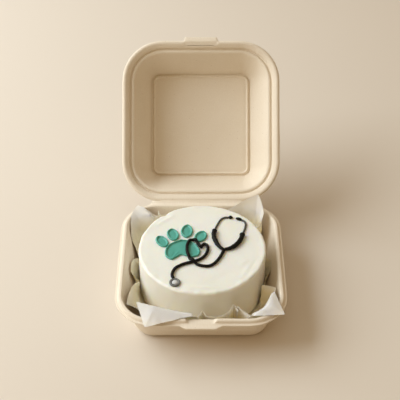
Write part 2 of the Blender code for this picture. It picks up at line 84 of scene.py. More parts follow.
# Each light: its place, its width and height in metres, its power and its colour
LIGHTS = {
    "window": ((-1.23, 0.34, 1.05), (1.7, 1.0), 29.0, (0.875, 0.955, 1.0)),
    "pale_wall": ((-1.25, -0.4, 0.55), (1.4, 1.0), 3.2, (1.0, 0.90, 0.74)),
    "ceiling": ((0.1, 0.1, 1.9), (2.4, 2.4), 6.0, (0.90, 0.97, 0.95)),
}


def new_finish(name, roughness=0.5):
    """A new material, with its node tree and its shader."""
    finish = bpy.data.materials.new(name)
    finish.use_nodes = True
    shader = finish.node_tree.nodes["Principled BSDF"]
    shader.inputs["Roughness"].default_value = roughness
    return finish, finish.node_tree, shader


table_top, _, table_shader = new_finish("table_top", TABLE_ROUGHNESS)
table_shader.inputs["Base Color"].default_value = (*TABLE_COLOUR, 1.0)
table_mesh = bpy.data.meshes.new("table")
table_corners = [(x * TABLE_HALF, y * TABLE_HALF, 0.0) for x, y in ((-1, -1), (1, -1), (1, 1), (-1, 1))]
table_mesh.from_pydata(table_corners, [], [(0, 1, 2, 3)])
table_mesh.materials.append(table_top)
table = bpy.data.objects.new("table", table_mesh)
scene.collection.objects.link(table)

room = bpy.data.worlds.new("room")
room.use_nodes = True
background = room.node_tree.nodes["Background"]
background.inputs["Color"].default_value = (*ROOM_COLOUR, 1.0)
background.inputs["Strength"].default_value = ROOM_STRENGTH
scene.world = room
for name, (place, size, power, colour) in LIGHTS.items():
    lamp_data = bpy.data.lights.new(name, "AREA")
    lamp_data.shape = "RECTANGLE"
    lamp_data.size, lamp_data.size_y = size
    lamp_data.energy = power
    lamp_data.color = colour
    lamp = bpy.data.objects.new(name, lamp_data)
    lamp.location = place
    lamp.rotation_euler = (LIT_POINT - Vector(place)).to_track_quat("-Z", "Y").to_euler()
    scene.collection.objects.link(lamp)

# The tray is pressed from wet plant fibre on a mesh former and dried, so it is one thin skin with
# soft corners, a rolled bead round its rim and a flat lip. A tongue runs out at the front through
# a gap in the bead, and at the back the lip rises to the crease of the lid.
PULP_SKIN = 1.2
# The uneven skin: the height of its waves and how quickly they follow each other
PULP_WAVES = ((0.16, 0.06), (0.05, 0.31))
PULP_BASE = (0.82, 0.74, 0.625, 1.0)
PULP_SHADE = (0.77, 0.68, 0.55, 1.0)
PULP_FLECK = (0.34, 0.24, 0.15, 1.0)
PULP_ROUGHNESS = 0.82
PULP_SHEEN = 0.3
PALE_FIBRE = (0.93, 0.87, 0.76, 1.0)
FIBRE_TURNS = ((0.4, 0.2, 0.5), (1.2, 0.7, 1.9), (0.1, 1.3, 2.8))
FIBRE_STRETCH = (1.0, 0.12, 1.0)
TRAY_HALF = (75.0, 77.4)
TRAY_STRAIGHT = 40.8
TRAY_LIP_RADIUS = 34.2
# The tray in section: (distance in from the edge, height, corner radius)
TRAY_PROFILE = (
    (70.0, 1.2, 0.6), (50.0, 1.2, 3.0), (34.0, 1.2, 6.0), (23.4, 1.2, 10.0), (21.6, 1.3, 11.2),
    (20.2, 1.6, 12.4), (18.2, 2.9, 14.4), (16.7, 5.2, 16.2), (14.8, 10.6, 18.4), (11.3, 21.0, 22.4),
    (8.1, 30.4, 26.0), (6.9, 33.9, 27.3), (6.0, 36.8, 28.2), (5.2, 37.8, 29.0), (4.2, 38.0, 30.0),
    (3.0, 37.8, 31.2), (2.2, 37.0, 32.0), (1.8, 35.9, 32.4), (1.3, 35.4, 32.9), (0.0, 35.2, 34.2),
)
BEAD_TOP = 38.0
TONGUE_HEIGHT = 35.5
TONGUE_REACH = 3.6
TONGUE_TIP_HALF = 12.8
TONGUE_ROOT_HALF = 18.4
TONGUE_LIP = 1.8
TONGUE_MARKS = (0.0, 4.0, 8.0, 10.5, 11.2, 12.0, 12.8, 13.4, 14.0, 16.0, 18.4, 22.0, 27.0, 32.0, 37.0)
BEAD_GAP_HALF = 10.5
BEAD_END_HALF = 14.0
TRAY_WEB_EDGE = 77.3
TRAY_WEB_HEIGHT = 37.2
TRAY_WEB_LIP = 1.5
TRAY_WEB_WIDTH = 4.2
WEB_END = 1.6
CREASE_HALF = 48.6
CORNER_STEPS = 14
SIDE_STEPS = 12
PROFILE_STEPS = 3


def even_share(value, low, high):
    """How far value lies from low to high, kept from 0 to 1."""
    return min(1.0, max(0.0, (value - low) / (high - low)))


def eased(value, low, high):
    """The same share with a soft start and end."""
    share = even_share(value, low, high)
    return share * share * (3 - 2 * share)


def flowing(points, steps, closed=False, bend=1.0):
    """Points on the smooth curve through these ones, which may lie at uneven distances. With a
    smaller bend the curve runs straighter and turns more sharply at each point."""
    points = [Vector(point) for point in points]
    count = len(points)
    spans = count if closed else count - 1
    lengths = [max(1e-6, (points[(i + 1) % count] - points[i]).length) for i in range(spans)]

    def slope(index):
        if not closed and index in (0, count - 1):
            near = 0 if index == 0 else spans - 1
            return bend * (points[near + 1] - points[near]) / lengths[near]
        before, after = lengths[index - 1], lengths[index % spans]
        behind = (points[index % count] - points[index - 1]) / before
        ahead = (points[(index + 1) % count] - points[index % count]) / after
        return bend * (behind * after + ahead * before) / (before + after)

    curve = []
    for span in range(spans):
        start, end = points[span], points[(span + 1) % count]
        leave = slope(span) * lengths[span]
        arrive = slope((span + 1) % count) * lengths[span]
        for step in range(steps):
            t = step / steps
            rest = 1 - t
            outgoing = start * (rest * rest * (1 + 2 * t)) + leave * (t * rest * rest)
            curve.append(outgoing + end * (t * t * (1 + 2 * rest)) - arrive * (t * t * rest))
    if not closed:
        curve.append(points[-1])
    return curve


def box_stations(front_marks):
    """Stations round a rounded box as (corner x, corner y, outward x, outward y), anticlockwise."""
    even = [1 - 2 * step / SIDE_STEPS for step in range(1, SIDE_STEPS)]
    stations = []
    for quarter, (u, v) in enumerate(((1, 1), (-1, 1), (-1, -1), (1, -1))):
        for step in range(CORNER_STEPS + 1):
            angle = math.radians(90 * (quarter + step / CORNER_STEPS))
            stations.append((u, v, math.cos(angle), math.sin(angle)))
        if quarter == 0:
            stations += [(share, 1, 0.0, 1.0) for share in even]
        elif quarter == 1:
            stations += [(-1, share, -1.0, 0.0) for share in even]
        elif quarter == 2:
            stations += [(mark, -1, 0.0, -1.0) for mark in front_marks]
        else:
            stations += [(1, -share, 1.0, 0.0) for share in even]
    return stations


def both_sides(marks, half):
    """Marks mirrored about the middle, in order, as shares of the half width."""
    return [mark / half for mark in sorted({-mark for mark in marks} | set(marks))]


def finished_mesh(name, shape):
    """A shape made into a mesh, with its faces turned outward."""
    bmesh.ops.recalc_face_normals(shape, faces=shape.faces)
    mesh = bpy.data.meshes.new(name)
    shape.to_mesh(mesh)
    shape.free()
    return mesh


def skin_mesh(name, rings, thickness, cuts=()):
    """A moulded skin: the rings are its one face and the other lies a thickness away, with a
    rounded edge where the last ring ends. Cuts are the (row, column) cells left open."""
    rows, count = len(rings), len(rings[0])
    front, back = [], []
    for row in range(rows):
        inner, outer = rings[max(0, row - 1)], rings[min(rows - 1, row + 1)]
        front_line, back_line = [], []
        for column, point in enumerate(rings[row]):
            across = outer[column] - inner[column]
            along = rings[row][(column + 1) % count] - rings[row][column - 1]
            normal = across.cross(along).normalized()
            uneven = sum(height * noise.noise(point * pace) for height, pace in PULP_WAVES)
            front_line.append(point + normal * uneven)
            back_line.append(point + normal * (uneven + thickness))
        front.append(front_line)
        back.append(back_line)
    edge = []
    for degrees in (45, 90, 135):
        swing = math.radians(degrees)
        line = []
        for column in range(count):
            near, far = front[-1][column], back[-1][column]
            outward = (near - front[-2][column]).normalized() * abs(thickness) / 2
            line.append((near + far) / 2 + (near - far) / 2 * math.cos(swing) + outward * math.sin(swing))
        edge.append(line)
    loops = front + edge + back[::-1]
    shape = bmesh.new()
    verts = [[shape.verts.new(point) for point in loop] for loop in loops]
    total = len(loops)
    open_cells = set(cuts) | {(total - 2 - row, column) for row, column in cuts}
    for row in range(total - 1):
        for column in range(count):
            following = (column + 1) % count
            if (row, column) in open_cells:
                continue
            face = (verts[row][column], verts[row + 1][column])
            face += (verts[row + 1][following], verts[row][following])
            shape.faces.new(face)
    for row, column in cuts:
        following = (column + 1) % count
        corners = ((row, column), (row + 1, column), (row + 1, following), (row, following))
        beside = ((row, column - 1), (row + 1, column), (row, column + 1), (row - 1, column))
        for (start, end), neighbour in zip(zip(corners, corners[1:] + corners[:1]), beside):
            if neighbour not in open_cells:
                face = [verts[start[0]][start[1]], verts[end[0]][end[1]]]
                face += [verts[total - 1 - end[0]][end[1]], verts[total - 1 - start[0]][start[1]]]
                shape.faces.new(face)
    shape.faces.new(verts[0][::-1])
    shape.faces.new(verts[-1])
    return finished_mesh(name, shape)


def new_group(name, inputs, outputs):
    """An empty shader node group with named inputs and outputs, and its two end nodes."""
    group = bpy.data.node_groups.new(name, "ShaderNodeTree")
    for label, kind, value in inputs:
        socket = group.interface.new_socket(label, in_out="INPUT", socket_type=kind)
        socket.default_value = value
    for label, kind in outputs:
        group.interface.new_socket(label, in_out="OUTPUT", socket_type=kind)
    return group, group.nodes.new("NodeGroupInput"), group.nodes.new("NodeGroupOutput")


def add_node(tree, kind, links=(), **values):
    """A node with its settings, and with its inputs set or joined to other sockets."""
    node = tree.nodes.new(kind)
    for label, value in values.items():
        setattr(node, label, value)
    for label, value in dict(links).items():
        if isinstance(value, bpy.types.NodeSocket):
            tree.links.new(value, node.inputs[label])
        else:
            node.inputs[label].default_value = value
    return node


def blend_colours(tree, share, first, second):
    """A colour mixed from two by a share."""
    return add_node(tree, "ShaderNodeMix", {0: share, 6: first, 7: second}, data_type="RGBA").outputs[2]


def calculated(tree, operation, first, second):
    """Two values joined by one operation."""
    return add_node(tree, "ShaderNodeMath", {0: first, 1: second}, operation=operation).outputs[0]


def clouded(tree, place, scale, detail):
    """A soft random value over the surface."""
    links = {"Vector": place, "Scale": scale, "Detail": detail}
    return add_node(tree, "ShaderNodeTexNoise", links).outputs["Fac"]


def ranged(tree, value, low, high, to_low=0.0, to_high=1.0):
    """A value taken from one range to another, kept inside it."""
    links = {"Value": value, "From Min": low, "From Max": high, "To Min": to_low, "To Max": to_high}
    return add_node(tree, "ShaderNodeMapRange", links).outputs["Result"]


def add_relief(tree, shader, height, strength, depth):
    """Fine relief on a material; depth is in millimetres."""
    links = {"Height": height, "Strength": strength, "Distance": depth * MM}
    tree.links.new(add_node(tree, "ShaderNodeBump", links).outputs["Normal"], shader.inputs["Normal"])


def fibre_group():
    """Pressed fibre: cloudy tone, short crossing fibres and a few dark flecks."""
    inputs = (
        ("Base", "NodeSocketColor", (0.8, 0.7, 0.55, 1.0)),
        ("Shade", "NodeSocketColor", (0.6, 0.5, 0.36, 1.0)),
        ("Fleck", "NodeSocketColor", (0.2, 0.12, 0.06, 1.0)),
        ("Fibre Scale", "NodeSocketFloat", 900.0),
    )
    outputs = (("Color", "NodeSocketColor"), ("Height", "NodeSocketFloat"))
    group, start, end = new_group("pressed_fibre", inputs, outputs)
    place = group.nodes.new("ShaderNodeTexCoord").outputs["Object"]
    cloud_share = ranged(group, clouded(group, place, 38.0, 5.0), 0.35, 0.7, 0.0, 0.4)
    colour = blend_colours(group, cloud_share, start.outputs["Base"], start.outputs["Shade"])
    fibres = None
    for turn in FIBRE_TURNS:
        links = {"Vector": place, "Rotation": turn, "Scale": FIBRE_STRETCH}
        lie = add_node(group, "ShaderNodeMapping", links).outputs[0]
        strand = clouded(group, lie, start.outputs["Fibre Scale"], 1.0)
        fibres = strand if fibres is None else calculated(group, "MAXIMUM", fibres, strand)
    colour = blend_colours(group, ranged(group, fibres, 0.56, 0.74, 0.0, 0.2), colour, PALE_FIBRE)
    spots = add_node(group, "ShaderNodeTexVoronoi", {"Vector": place, "Scale": 260.0})
    near = ranged(group, spots.outputs["Distance"], 0.04, 0.11, 1.0, 0.0)
    lot = add_node(group, "ShaderNodeSeparateColor", {"Color": spots.outputs["Color"]}).outputs[0]
    fleck = calculated(group, "MULTIPLY", near, ranged(group, lot, 0.6, 0.66))
    faint = ranged(group, fleck, 0.0, 1.0, 0.0, 0.55)
    group.links.new(blend_colours(group, faint, colour, start.outputs["Fleck"]), end.inputs["Color"])
    group.links.new(ranged(group, fibres, 0.56, 0.72), end.inputs["Height"])
    return group


def pulp_finish():
    """Matt unbleached fibre pulp."""
    finish, tree, shader = new_finish("moulded_pulp", PULP_ROUGHNESS)
    colours = {"Base": PULP_BASE, "Shade": PULP_SHADE, "Fleck": PULP_FLECK}
    fibre = add_node(tree, "ShaderNodeGroup", node_tree=fibre_group())
    for label, value in colours.items():
        fibre.inputs[label].default_value = value
    tree.links.new(fibre.outputs["Color"], shader.inputs["Base Color"])
    add_relief(tree, shader, fibre.outputs["Height"], 0.35, 0.12)
    shader.inputs["Specular IOR Level"].default_value = PULP_SHEEN
    return finish


def add_piece(name, mesh, finish, nodes=(), body="tray"):
    """Turn a mesh in millimetres into a finished piece that rides on a body and stands for nodes."""
    mesh.transform(Matrix.Scale(MM, 4))
    mesh.materials.append(finish)
    mesh.shade_smooth()
    piece = bpy.data.objects.new(name, mesh)
    scene.collection.objects.link(piece)
    if body:
        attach(piece, body)
    if nodes:
        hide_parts(*nodes)
    return piece


def tray_point(station, inset, height, radius):
    """A point of the tray's upper face, with the tongue in front and the web behind."""
    u, v, out_x, out_y = station
    x = u * (TRAY_HALF[0] - inset - radius) + radius * out_x
    y = v * (TRAY_HALF[1] - inset - radius) + radius * out_y
    if v < 0 and out_y == -1.0:
        mark = abs(u) * TRAY_STRAIGHT
        cap = TONGUE_HEIGHT + eased(mark, BEAD_GAP_HALF, BEAD_END_HALF) * (BEAD_TOP - TONGUE_HEIGHT)
        height = min(height, cap)
        reach = TONGUE_REACH * (1 - even_share(mark, TONGUE_TIP_HALF, TONGUE_ROOT_HALF))
        y -= reach * (1 - even_share(inset, 0.0, TONGUE_LIP))
    if v > 0 and out_y > 0:
        mark = abs(u * TRAY_STRAIGHT + TRAY_LIP_RADIUS * out_x)
        on_web = 1 - eased(mark, CREASE_HALF - WEB_END, CREASE_HALF + WEB_END)
        y += on_web * (1 - even_share(inset, 0.0, TRAY_WEB_LIP)) * (TRAY_WEB_EDGE - y)
        level = TRAY_WEB_HEIGHT + (BEAD_TOP - TRAY_WEB_HEIGHT) * even_share(inset, 0.0, TRAY_WEB_WIDTH)
        if inset < TRAY_WEB_WIDTH:
            height += on_web * (level - height)
    return Vector((x, y, height))


tray_stations = box_stations(both_sides(TONGUE_MARKS, TRAY_STRAIGHT))
tray_section = flowing(TRAY_PROFILE, PROFILE_STEPS)
tray_rings = [[tray_point(station, *row) for station in tray_stations] for row in tray_section]
pulp = pulp_finish()
tray_mesh = skin_mesh("tray", tray_rings, -PULP_SKIN)
for vert in tray_mesh.vertices:
    vert.co.z = max(0.0, vert.co.z)
add_piece("tray", tray_mesh, pulp, ["box_base"])

# The lid is the other half of the same moulding. It is deeper than the tray, with a stepped rim
# that closes over the bead, a raised line round its flat panel, and a tab in front with a slit
# behind it for the tray's tongue. It leans back on the crease.
LID_HALF = (77.0, 79.0)
LID_STRAIGHT = 37.4
LID_LIP_RADIUS = 39.6
# The lid in section: (distance in from the edge, depth, corner radius)
LID_PROFILE = (
    (72.0, 35.9, 0.5), (55.0, 35.9, 1.2), (40.0, 35.9, 2.4), (32.5, 35.9, 3.8), (31.5, 36.0, 4.3),
    (31.0, 35.8, 4.6), (30.5, 35.1, 4.9), (30.1, 34.7, 5.3), (29.6, 34.7, 5.8), (29.1, 35.3, 6.3),
    (28.6, 36.3, 6.8), (28.0, 36.8, 7.4), (27.3, 36.6, 8.2), (26.7, 35.5, 8.9), (25.9, 33.4, 9.9),
    (22.0, 25.9, 14.9), (17.0, 16.4, 21.1), (12.6, 8.1, 26.8), (11.8, 6.6, 27.8), (10.8, 5.7, 28.8),
    (9.8, 5.4, 29.8), (9.1, 5.5, 30.5), (8.5, 6.2, 31.1), (7.9, 6.6, 31.7), (7.3, 6.2, 32.3),
    (6.9, 4.8, 32.7), (6.4, 3.2, 33.2), (5.0, 2.0, 34.6), (4.0, 1.3, 35.6), (3.1, 0.85, 36.5),
    (2.3, 0.75, 37.3), (1.5, 0.85, 38.1), (0.8, 1.2, 38.8), (0.25, 1.8, 39.35), (0.0, 2.6, 39.6),
)
TAB_DEPTH = 0.9
TAB_REACH = 3.3
TAB_HALF = 15.4
TAB_SHOULDER_HALF = 17.0
LID_LIP = 1.4
TAB_ROLL = 1.1
TAB_WIDTH = (4.4, 5.4)
TAB_MARKS = (0.0, 4.5, 9.0, 13.2, 14.4, 15.4, 16.2, 17.0, 18.5, 22.0, 27.0, 32.0, 35.5)
SLIT_HALF = 13.2
SLIT_INSETS = (4.2, 5.1)
CREASE_PLACE = Vector((0.0, 79.0, 37.6))
LID_TURN = math.radians(-133.5)
LID_EDGE_BACK = -0.7
LID_EDGE_DEPTH = 1.3
LID_JOIN_START = 3.6
LID_JOIN_END = 0.4
lid_opened = Matrix.Translation(CREASE_PLACE) @ Matrix.Rotation(LID_TURN, 4, "X")


def lid_point(station, inset, depth, radius):
    """A point of the lid's inner face, turned open about the crease."""
    u, v, out_x, out_y = station
    x = u * (LID_HALF[0] - inset - radius) + radius * out_x
    y = v * (LID_HALF[1] - inset - radius) + radius * out_y
    if v < 0 and out_y == -1.0:
        on_tab = 1 - even_share(abs(u) * LID_STRAIGHT, TAB_HALF, TAB_SHOULDER_HALF)
        rolled = TAB_DEPTH + 1.4 * (1 - even_share(inset, 0.0, TAB_ROLL))
        rolled += 0.8 * even_share(inset, TAB_ROLL, 4.0)
        depth += on_tab * (1 - even_share(inset, *TAB_WIDTH)) * (rolled - depth)
        y -= TAB_REACH * on_tab * (1 - even_share(inset, 0, LID_LIP))
    if v > 0 and out_y > 0:
        mark = abs(u * LID_STRAIGHT + LID_LIP_RADIUS * out_x)
        join = 1 - eased(mark, CREASE_HALF - LID_JOIN_START, CREASE_HALF - LID_JOIN_END)
        join *= 1 - even_share(inset, 0.0, LID_LIP)
        y += join * (LID_HALF[1] + LID_EDGE_BACK - y)
        depth += join * (LID_EDGE_DEPTH - depth)
    return lid_opened @ Vector((x, y - LID_HALF[1], depth))


lid_stations = box_stations(both_sides(TAB_MARKS, LID_STRAIGHT))
lid_section = flowing(LID_PROFILE, PROFILE_STEPS)
lid_rings = [[lid_point(station, *row) for station in lid_stations] for row in lid_section]
slit_cells = []
for row, (here, there) in enumerate(zip(lid_section[:-1], lid_section[1:])):
    if SLIT_INSETS[0] < (here.x + there.x) / 2 < SLIT_INSETS[1]:
        for column, (this, following) in enumerate(zip(lid_stations[:-1], lid_stations[1:])):
            at_front = this[3] == following[3] == -1.0
            middle = (this[0] + following[0]) / 2 * LID_STRAIGHT
            if at_front and abs(middle) < SLIT_HALF:
                slit_cells.append((row, column))
lid_mesh = skin_mesh("lid", lid_rings, PULP_SKIN, slit_cells)
add_piece("lid", lid_mesh, pulp, ["box_lid"], "lid")

# Tray and lid are one moulding in reality. The crease between them is a pressed line where the
# pulp is thin enough to bend; this strip fills it, fixed in place and tied to neither half.
CREASE_STEPS = 24
CREASE_END = 1.0
# The strip in section: (distance back, height)
CREASE_SECTION = (
    (77.2, 36.4), (77.6, 37.15), (78.2, 37.3), (78.8, 37.3), (79.3, 37.35), (79.8, 37.4), (80.2, 37.2),
    (80.6, 36.8), (80.9, 36.4), (80.8, 35.9), (80.3, 35.7), (79.6, 35.9), (79.0, 36.0), (78.2, 35.8),
    (77.4, 35.7),
)


def wave(x, y, z):
    """Smooth random value at a place, from about -1 to 1."""
    return noise.noise(Vector((x, y, z)))


def joined_loops(shape, rings, hoop=False):
    """Rings of points added to a shape, each joined to the next and in a hoop the last to the first."""
    loops = [[shape.verts.new(point) for point in ring] for ring in rings]
    for here, there in zip(loops, loops[1:] + loops[:1] if hoop else loops[1:]):
        for index in range(len(here)):
            following = (index + 1) % len(here)
            shape.faces.new((here[index], there[index], there[following], here[following]))
    return loops


def closed_mesh(name, rings, hoop=False):
    """Joined rings with both ends filled, or a hoop, which has no ends."""
    shape = bmesh.new()
    loops = joined_loops(shape, rings, hoop)
    if not hoop:
        shape.faces.new(loops[0])
        shape.faces.new(loops[-1][::-1])
    return finished_mesh(name, shape)


crease_rings = []
for step in range(CREASE_STEPS + 1):
    x = (2 * step / CREASE_STEPS - 1) * (CREASE_HALF - CREASE_END)
    sway = 0.12 * wave(x * 0.08, 0.0, 4.0)
    crease_rings.append([Vector((x, y, z + sway)) for y, z in CREASE_SECTION])
crease = add_piece("crease", closed_mesh("crease", crease_rings), pulp, body=None)
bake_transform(crease)

# The cake is a small round of sponge under a smooth coat of pale cream. The cream was spread with
# a palette knife and pulled in over the edge, which leaves faint waves, a thin lip and a nick.
CAKE_CENTRE = Vector((1.2, 0.9, 0.0))
CAKE_RADIUS = 57.4
CAKE_TOP = 51.0
CAKE_FLOOR = 2.4
CAKE_STATIONS = 168
CAKE_STEPS = 2
# The coat in section, from the middle of the top: the radii of the flat top, the edge as (radius,
# height), the heights down the side, and the foot
CAKE_FLAT = (6.0, 14.0, 22.0, 29.0, 35.0, 40.0, 44.0, 47.0, 49.5)
CAKE_EDGE = (
    (51.5, 51.02), (53.2, 51.05), (54.4, 51.12), (55.3, 51.1), (56.1, 50.92), (56.7, 50.55),
    (57.15, 50.0), (57.4, 49.4), (57.45, 49.0),
)
CAKE_SIDE = (48.0, 46.0, 42.0, 37.0, 31.0, 25.0, 19.0, 13.0, 8.0)
CAKE_FOOT = ((57.0, 5.2), (55.8, 3.4), (53.6, CAKE_FLOOR), (40.0, CAKE_FLOOR), (15.0, CAKE_FLOOR))
# Long shallow knife marks on the top: start and end in mm, half width, and height
KNIFE_MARKS = (
    ((34.0, -38.0), (46.0, -20.0), 2.2, 0.45),
    ((38.0, -35.0), (51.0, -12.0), 1.4, -0.4),
    ((33.0, -22.0), (42.0, -14.0), 1.3, 0.6),
    ((-44.0, 28.0), (-24.0, 45.0), 1.8, 0.6),
    ((-49.0, -10.0), (-38.0, -34.0), 3.0, 0.2),
    ((6.0, 38.0), (30.0, 47.0), 2.2, 0.35),
    ((-14.0, -48.0), (20.0, -49.0), 1.8, 0.5),
    ((10.0, -40.0), (32.0, -26.0), 2.2, -0.22),
    ((-8.0, -34.0), (12.0, -46.0), 2.4, 0.35),
)
# Where the edge, the side and the top count: ranges of radius or height that ease in
EDGE_RADII = (50.0, 55.0)
EDGE_HEIGHTS = (45.0, 50.0)
SIDE_RADII = (56.6, 57.3)
SIDE_HEIGHTS = (4.0, 9.0)
TOP_HEIGHTS = (50.0, 50.9)
# Waves round the coat as (size, pace, change with height, start), and across its top as (size,
# pace in x, pace in y, start)
SIDE_WAVES = ((0.28, 1.6, 0.02, 0.0), (0.10, 7, 0.05, 3.0))
EDGE_WAVES_OUT = ((0.45, 4, 0.0, 9.0), (0.38, 13, 0.0, 19.0))
EDGE_WAVES_UP = ((0.5, 3.2, 0.0, 2.0), (0.45, 11, 0.0, 12.0))
TOP_WAVES = ((0.16, 0.05, 0.05, 1.0), (0.05, 0.16, 0.07, 5.0))
NICK_DEGREES = 128.0
NICK_HALF = 3.2
NICK_PUSH = Vector((0.4, -0.6, -0.9))
PALE = (0.864, 0.886, 0.85)
PALE_SHADE = (0.842, 0.856, 0.805)
DRAG_TURN = (0.0, 0.0, 0.6)
DRAG_STRETCH = (1.0, 0.16, 1.0)
CREAM_GLOW = (1.0, 0.75, 0.42)
CREAM_GLOW_DEPTH = 3.0


def bump(value, half_width):
    """A soft rise that is 1 at zero and dies away within a few half widths."""
    return math.exp(-((value / half_width) ** 2))


def knife_height(x, y):
    """Height that the knife's marks add to the top at a point."""
    height = 0.0
    here = Vector((x, y))
    for start, end, half_width, rise in KNIFE_MARKS:
        start, end = Vector(start), Vector(end)
        along = end - start
        share = min(1.0, max(0.0, (here - start).dot(along) / along.length_squared))
        fade = math.sin(math.pi * share) if 0 < share < 1 else 0.0
        height += rise * fade * bump((here - start - share * along).length, half_width)
    return height


def rippled(way, height, waves):
    """The sum of some waves round a middle, in one direction and at a height."""
    total = 0.0
    for size, pace, rate, start in waves:
        total += size * wave(way.x * pace, way.y * pace, height * rate + start)
    return total


def cake_point(angle, radius, height):
    """A point of the coat, with the waves and smears of the palette knife."""
    way = Vector((math.cos(angle), math.sin(angle), 0.0))
    at_edge = eased(radius, *EDGE_RADII) * eased(height, *EDGE_HEIGHTS)
    on_side = eased(radius, *SIDE_RADII) * eased(height, *SIDE_HEIGHTS)
    on_top = eased(height, *TOP_HEIGHTS)
    reach = radius + on_side * rippled(way, height, SIDE_WAVES)
    reach += at_edge * rippled(way, height, EDGE_WAVES_OUT)
    point = CAKE_CENTRE + way * reach
    lift = knife_height(point.x, point.y)
    for size, pace_x, pace_y, level in TOP_WAVES:
        lift += size * wave(point.x * pace_x, point.y * pace_y, level)
    point.z = height + on_top * lift + at_edge * rippled(way, height, EDGE_WAVES_UP)
    return point + bump(math.degrees(angle) - NICK_DEGREES, NICK_HALF) * at_edge * NICK_PUSH


def cream_group():
    """Spread or piped cream: a slow drift of tone, and fine drag lines and tiny bubbles as relief."""
    inputs = (
        ("Base", "NodeSocketColor", (0.8, 0.8, 0.7, 1.0)),
        ("Shade", "NodeSocketColor", (0.7, 0.68, 0.58, 1.0)),
        ("Drift Scale", "NodeSocketFloat", 30.0),
        ("Drag Scale", "NodeSocketFloat", 500.0),
    )
    outputs = (("Color", "NodeSocketColor"), ("Height", "NodeSocketFloat"), ("Gloss", "NodeSocketFloat"))
    group, start, end = new_group("spread_cream", inputs, outputs)
    place = group.nodes.new("ShaderNodeTexCoord").outputs["Object"]
    share = ranged(group, clouded(group, place, start.outputs["Drift Scale"], 3.0), 0.35, 0.68)
    colour = blend_colours(group, share, start.outputs["Base"], start.outputs["Shade"])
    group.links.new(colour, end.inputs["Color"])
    links = {"Vector": place, "Rotation": DRAG_TURN, "Scale": DRAG_STRETCH}
    lie = add_node(group, "ShaderNodeMapping", links).outputs[0]
    drag = clouded(group, lie, start.outputs["Drag Scale"], 3.0)
    pores = add_node(group, "ShaderNodeTexVoronoi", {"Vector": place, "Scale": 700.0})
    pits = ranged(group, pores.outputs["Distance"], 0.06, 0.16, -0.35, 0.0)
    group.links.new(calculated(group, "ADD", drag, pits), end.inputs["Height"])
    group.links.new(ranged(group, drag, 0.3, 0.7), end.inputs["Gloss"])
    return group


spread_cream = cream_group()


def cream_finish(name, base, shade, gloss, depth, soft=0.0, drift=260.0, drag=900.0, sheen=0.4):
    """A cream or icing colour. Gloss is the range of its roughness, depth its relief in millimetres
    and soft its glow. Drift and drag are how fine its change of tone and its drag lines are."""
    finish, tree, shader = new_finish(name)
    cream = add_node(tree, "ShaderNodeGroup", node_tree=spread_cream)
    cream.inputs["Base"].default_value = (*base, 1.0)
    cream.inputs["Shade"].default_value = (*shade, 1.0)
    cream.inputs["Drift Scale"].default_value = drift
    cream.inputs["Drag Scale"].default_value = drag
    tree.links.new(cream.outputs["Color"], shader.inputs["Base Color"])
    add_relief(tree, shader, cream.outputs["Height"], 0.5, depth)
    tree.links.new(ranged(tree, cream.outputs["Gloss"], 0.0, 1.0, *gloss), shader.inputs["Roughness"])
    shader.inputs["Specular IOR Level"].default_value = sheen
    shader.inputs["Subsurface Weight"].default_value = soft
    shader.inputs["Subsurface Radius"].default_value = CREAM_GLOW
    shader.inputs["Subsurface Scale"].default_value = CREAM_GLOW_DEPTH * MM
    return finish


pale_cream = cream_finish("pale_cream", PALE, PALE_SHADE, (0.46, 0.6), 0.07, 0.45, drift=30.0, drag=500.0)
cake_profile = [(radius, CAKE_TOP) for radius in CAKE_FLAT] + [*CAKE_EDGE]
cake_profile += [(CAKE_RADIUS, height) for height in CAKE_SIDE] + [*CAKE_FOOT]
cake_angles = [math.tau * station / CAKE_STATIONS for station in range(CAKE_STATIONS)]
cake_rings = []
for radius, height, _ in flowing([(*row, 0.0) for row in cake_profile], CAKE_STEPS):
    cake_rings.append([cake_point(angle, radius, height) for angle in cake_angles])
add_piece("cake", closed_mesh("cake", cake_rings), pale_cream, ["cake"])

# The liner is a square of thin greaseproof paper that was pushed down into the tray under the
# cake. It is pleated where it had to turn upward, and its four corners stand up or fold out.
PAPER_SKIN = 0.16
PAPER_SPLIT = 5
PAPER_BEND = 0.35
PAPER_RIM = 38.0
# The gap that the sheet keeps to the cake and to the tray: as it is drawn, and once it is creased
DRAWN_GAPS = (0.7, 0.6)
CREASED_GAPS = (0.4, 0.35)
# The cake's rounded foot: how far it draws in and between which heights. The sheet is kept off
# cake and tray only where it stands between them, which is so at these heights and distances.
FOOT_INSET = 1.2
FOOT_HEIGHTS = (3.0, 7.0)
STANDING_HEIGHTS = (4.0, 37.0)
STANDING_REACH = 50
# How far in from the tray's edge its wall starts, and how often the search for it halves
WALL_INSET = 5.2
HALVINGS = 22
# Places under the cake as (distance from its axis, height), and on the way up as (share of the
# height, part of the lean)
UNDER_CAKE = ((10, 1.7), (34, 1.7), (52.6, 1.75))
ON_WAY_UP = ((0.16, 0.25), (0.55, 0.65))
LEAST_RISE = 4.2
EDGE_SPAN = 0.72
# Small creases as (depth, pace, pace in height, start), their middle level, and the heights
# between which they set in
PAPER_CREASES = ((0.9, 0.13, 0.10, 0.0), (0.35, 0.34, 0.3, 7.0))
PAPER_CREASE_LEVEL = 0.25
PAPER_CREASE_HEIGHTS = (6.0, 20.0)
PAPER_CREASE_LIFT = Vector((0.0, 0.0, 0.4))
PAPER_TINT = (0.915, 0.91, 0.865, 1.0)
PAPER_SHADE = (0.875, 0.865, 0.81, 1.0)
# Painted warm bounce light: below the rim the paper is mixed towards this warm colour, by up to this
# share low down and by none at the rim
PAPER_PAINTED_BOUNCE = (1.0, 0.80, 0.52, 1.0)
PAPER_PAINTED_BOUNCE_SHARE = 0.8
PAPER_FADE_START = 26.0
PAPER_ROUGHNESS = 0.48
PAPER_GLOW = 0.9
PAPER_GLOW_COLOUR = (0.95, 0.9, 0.75)
PAPER_GLOW_DEPTH = 0.6
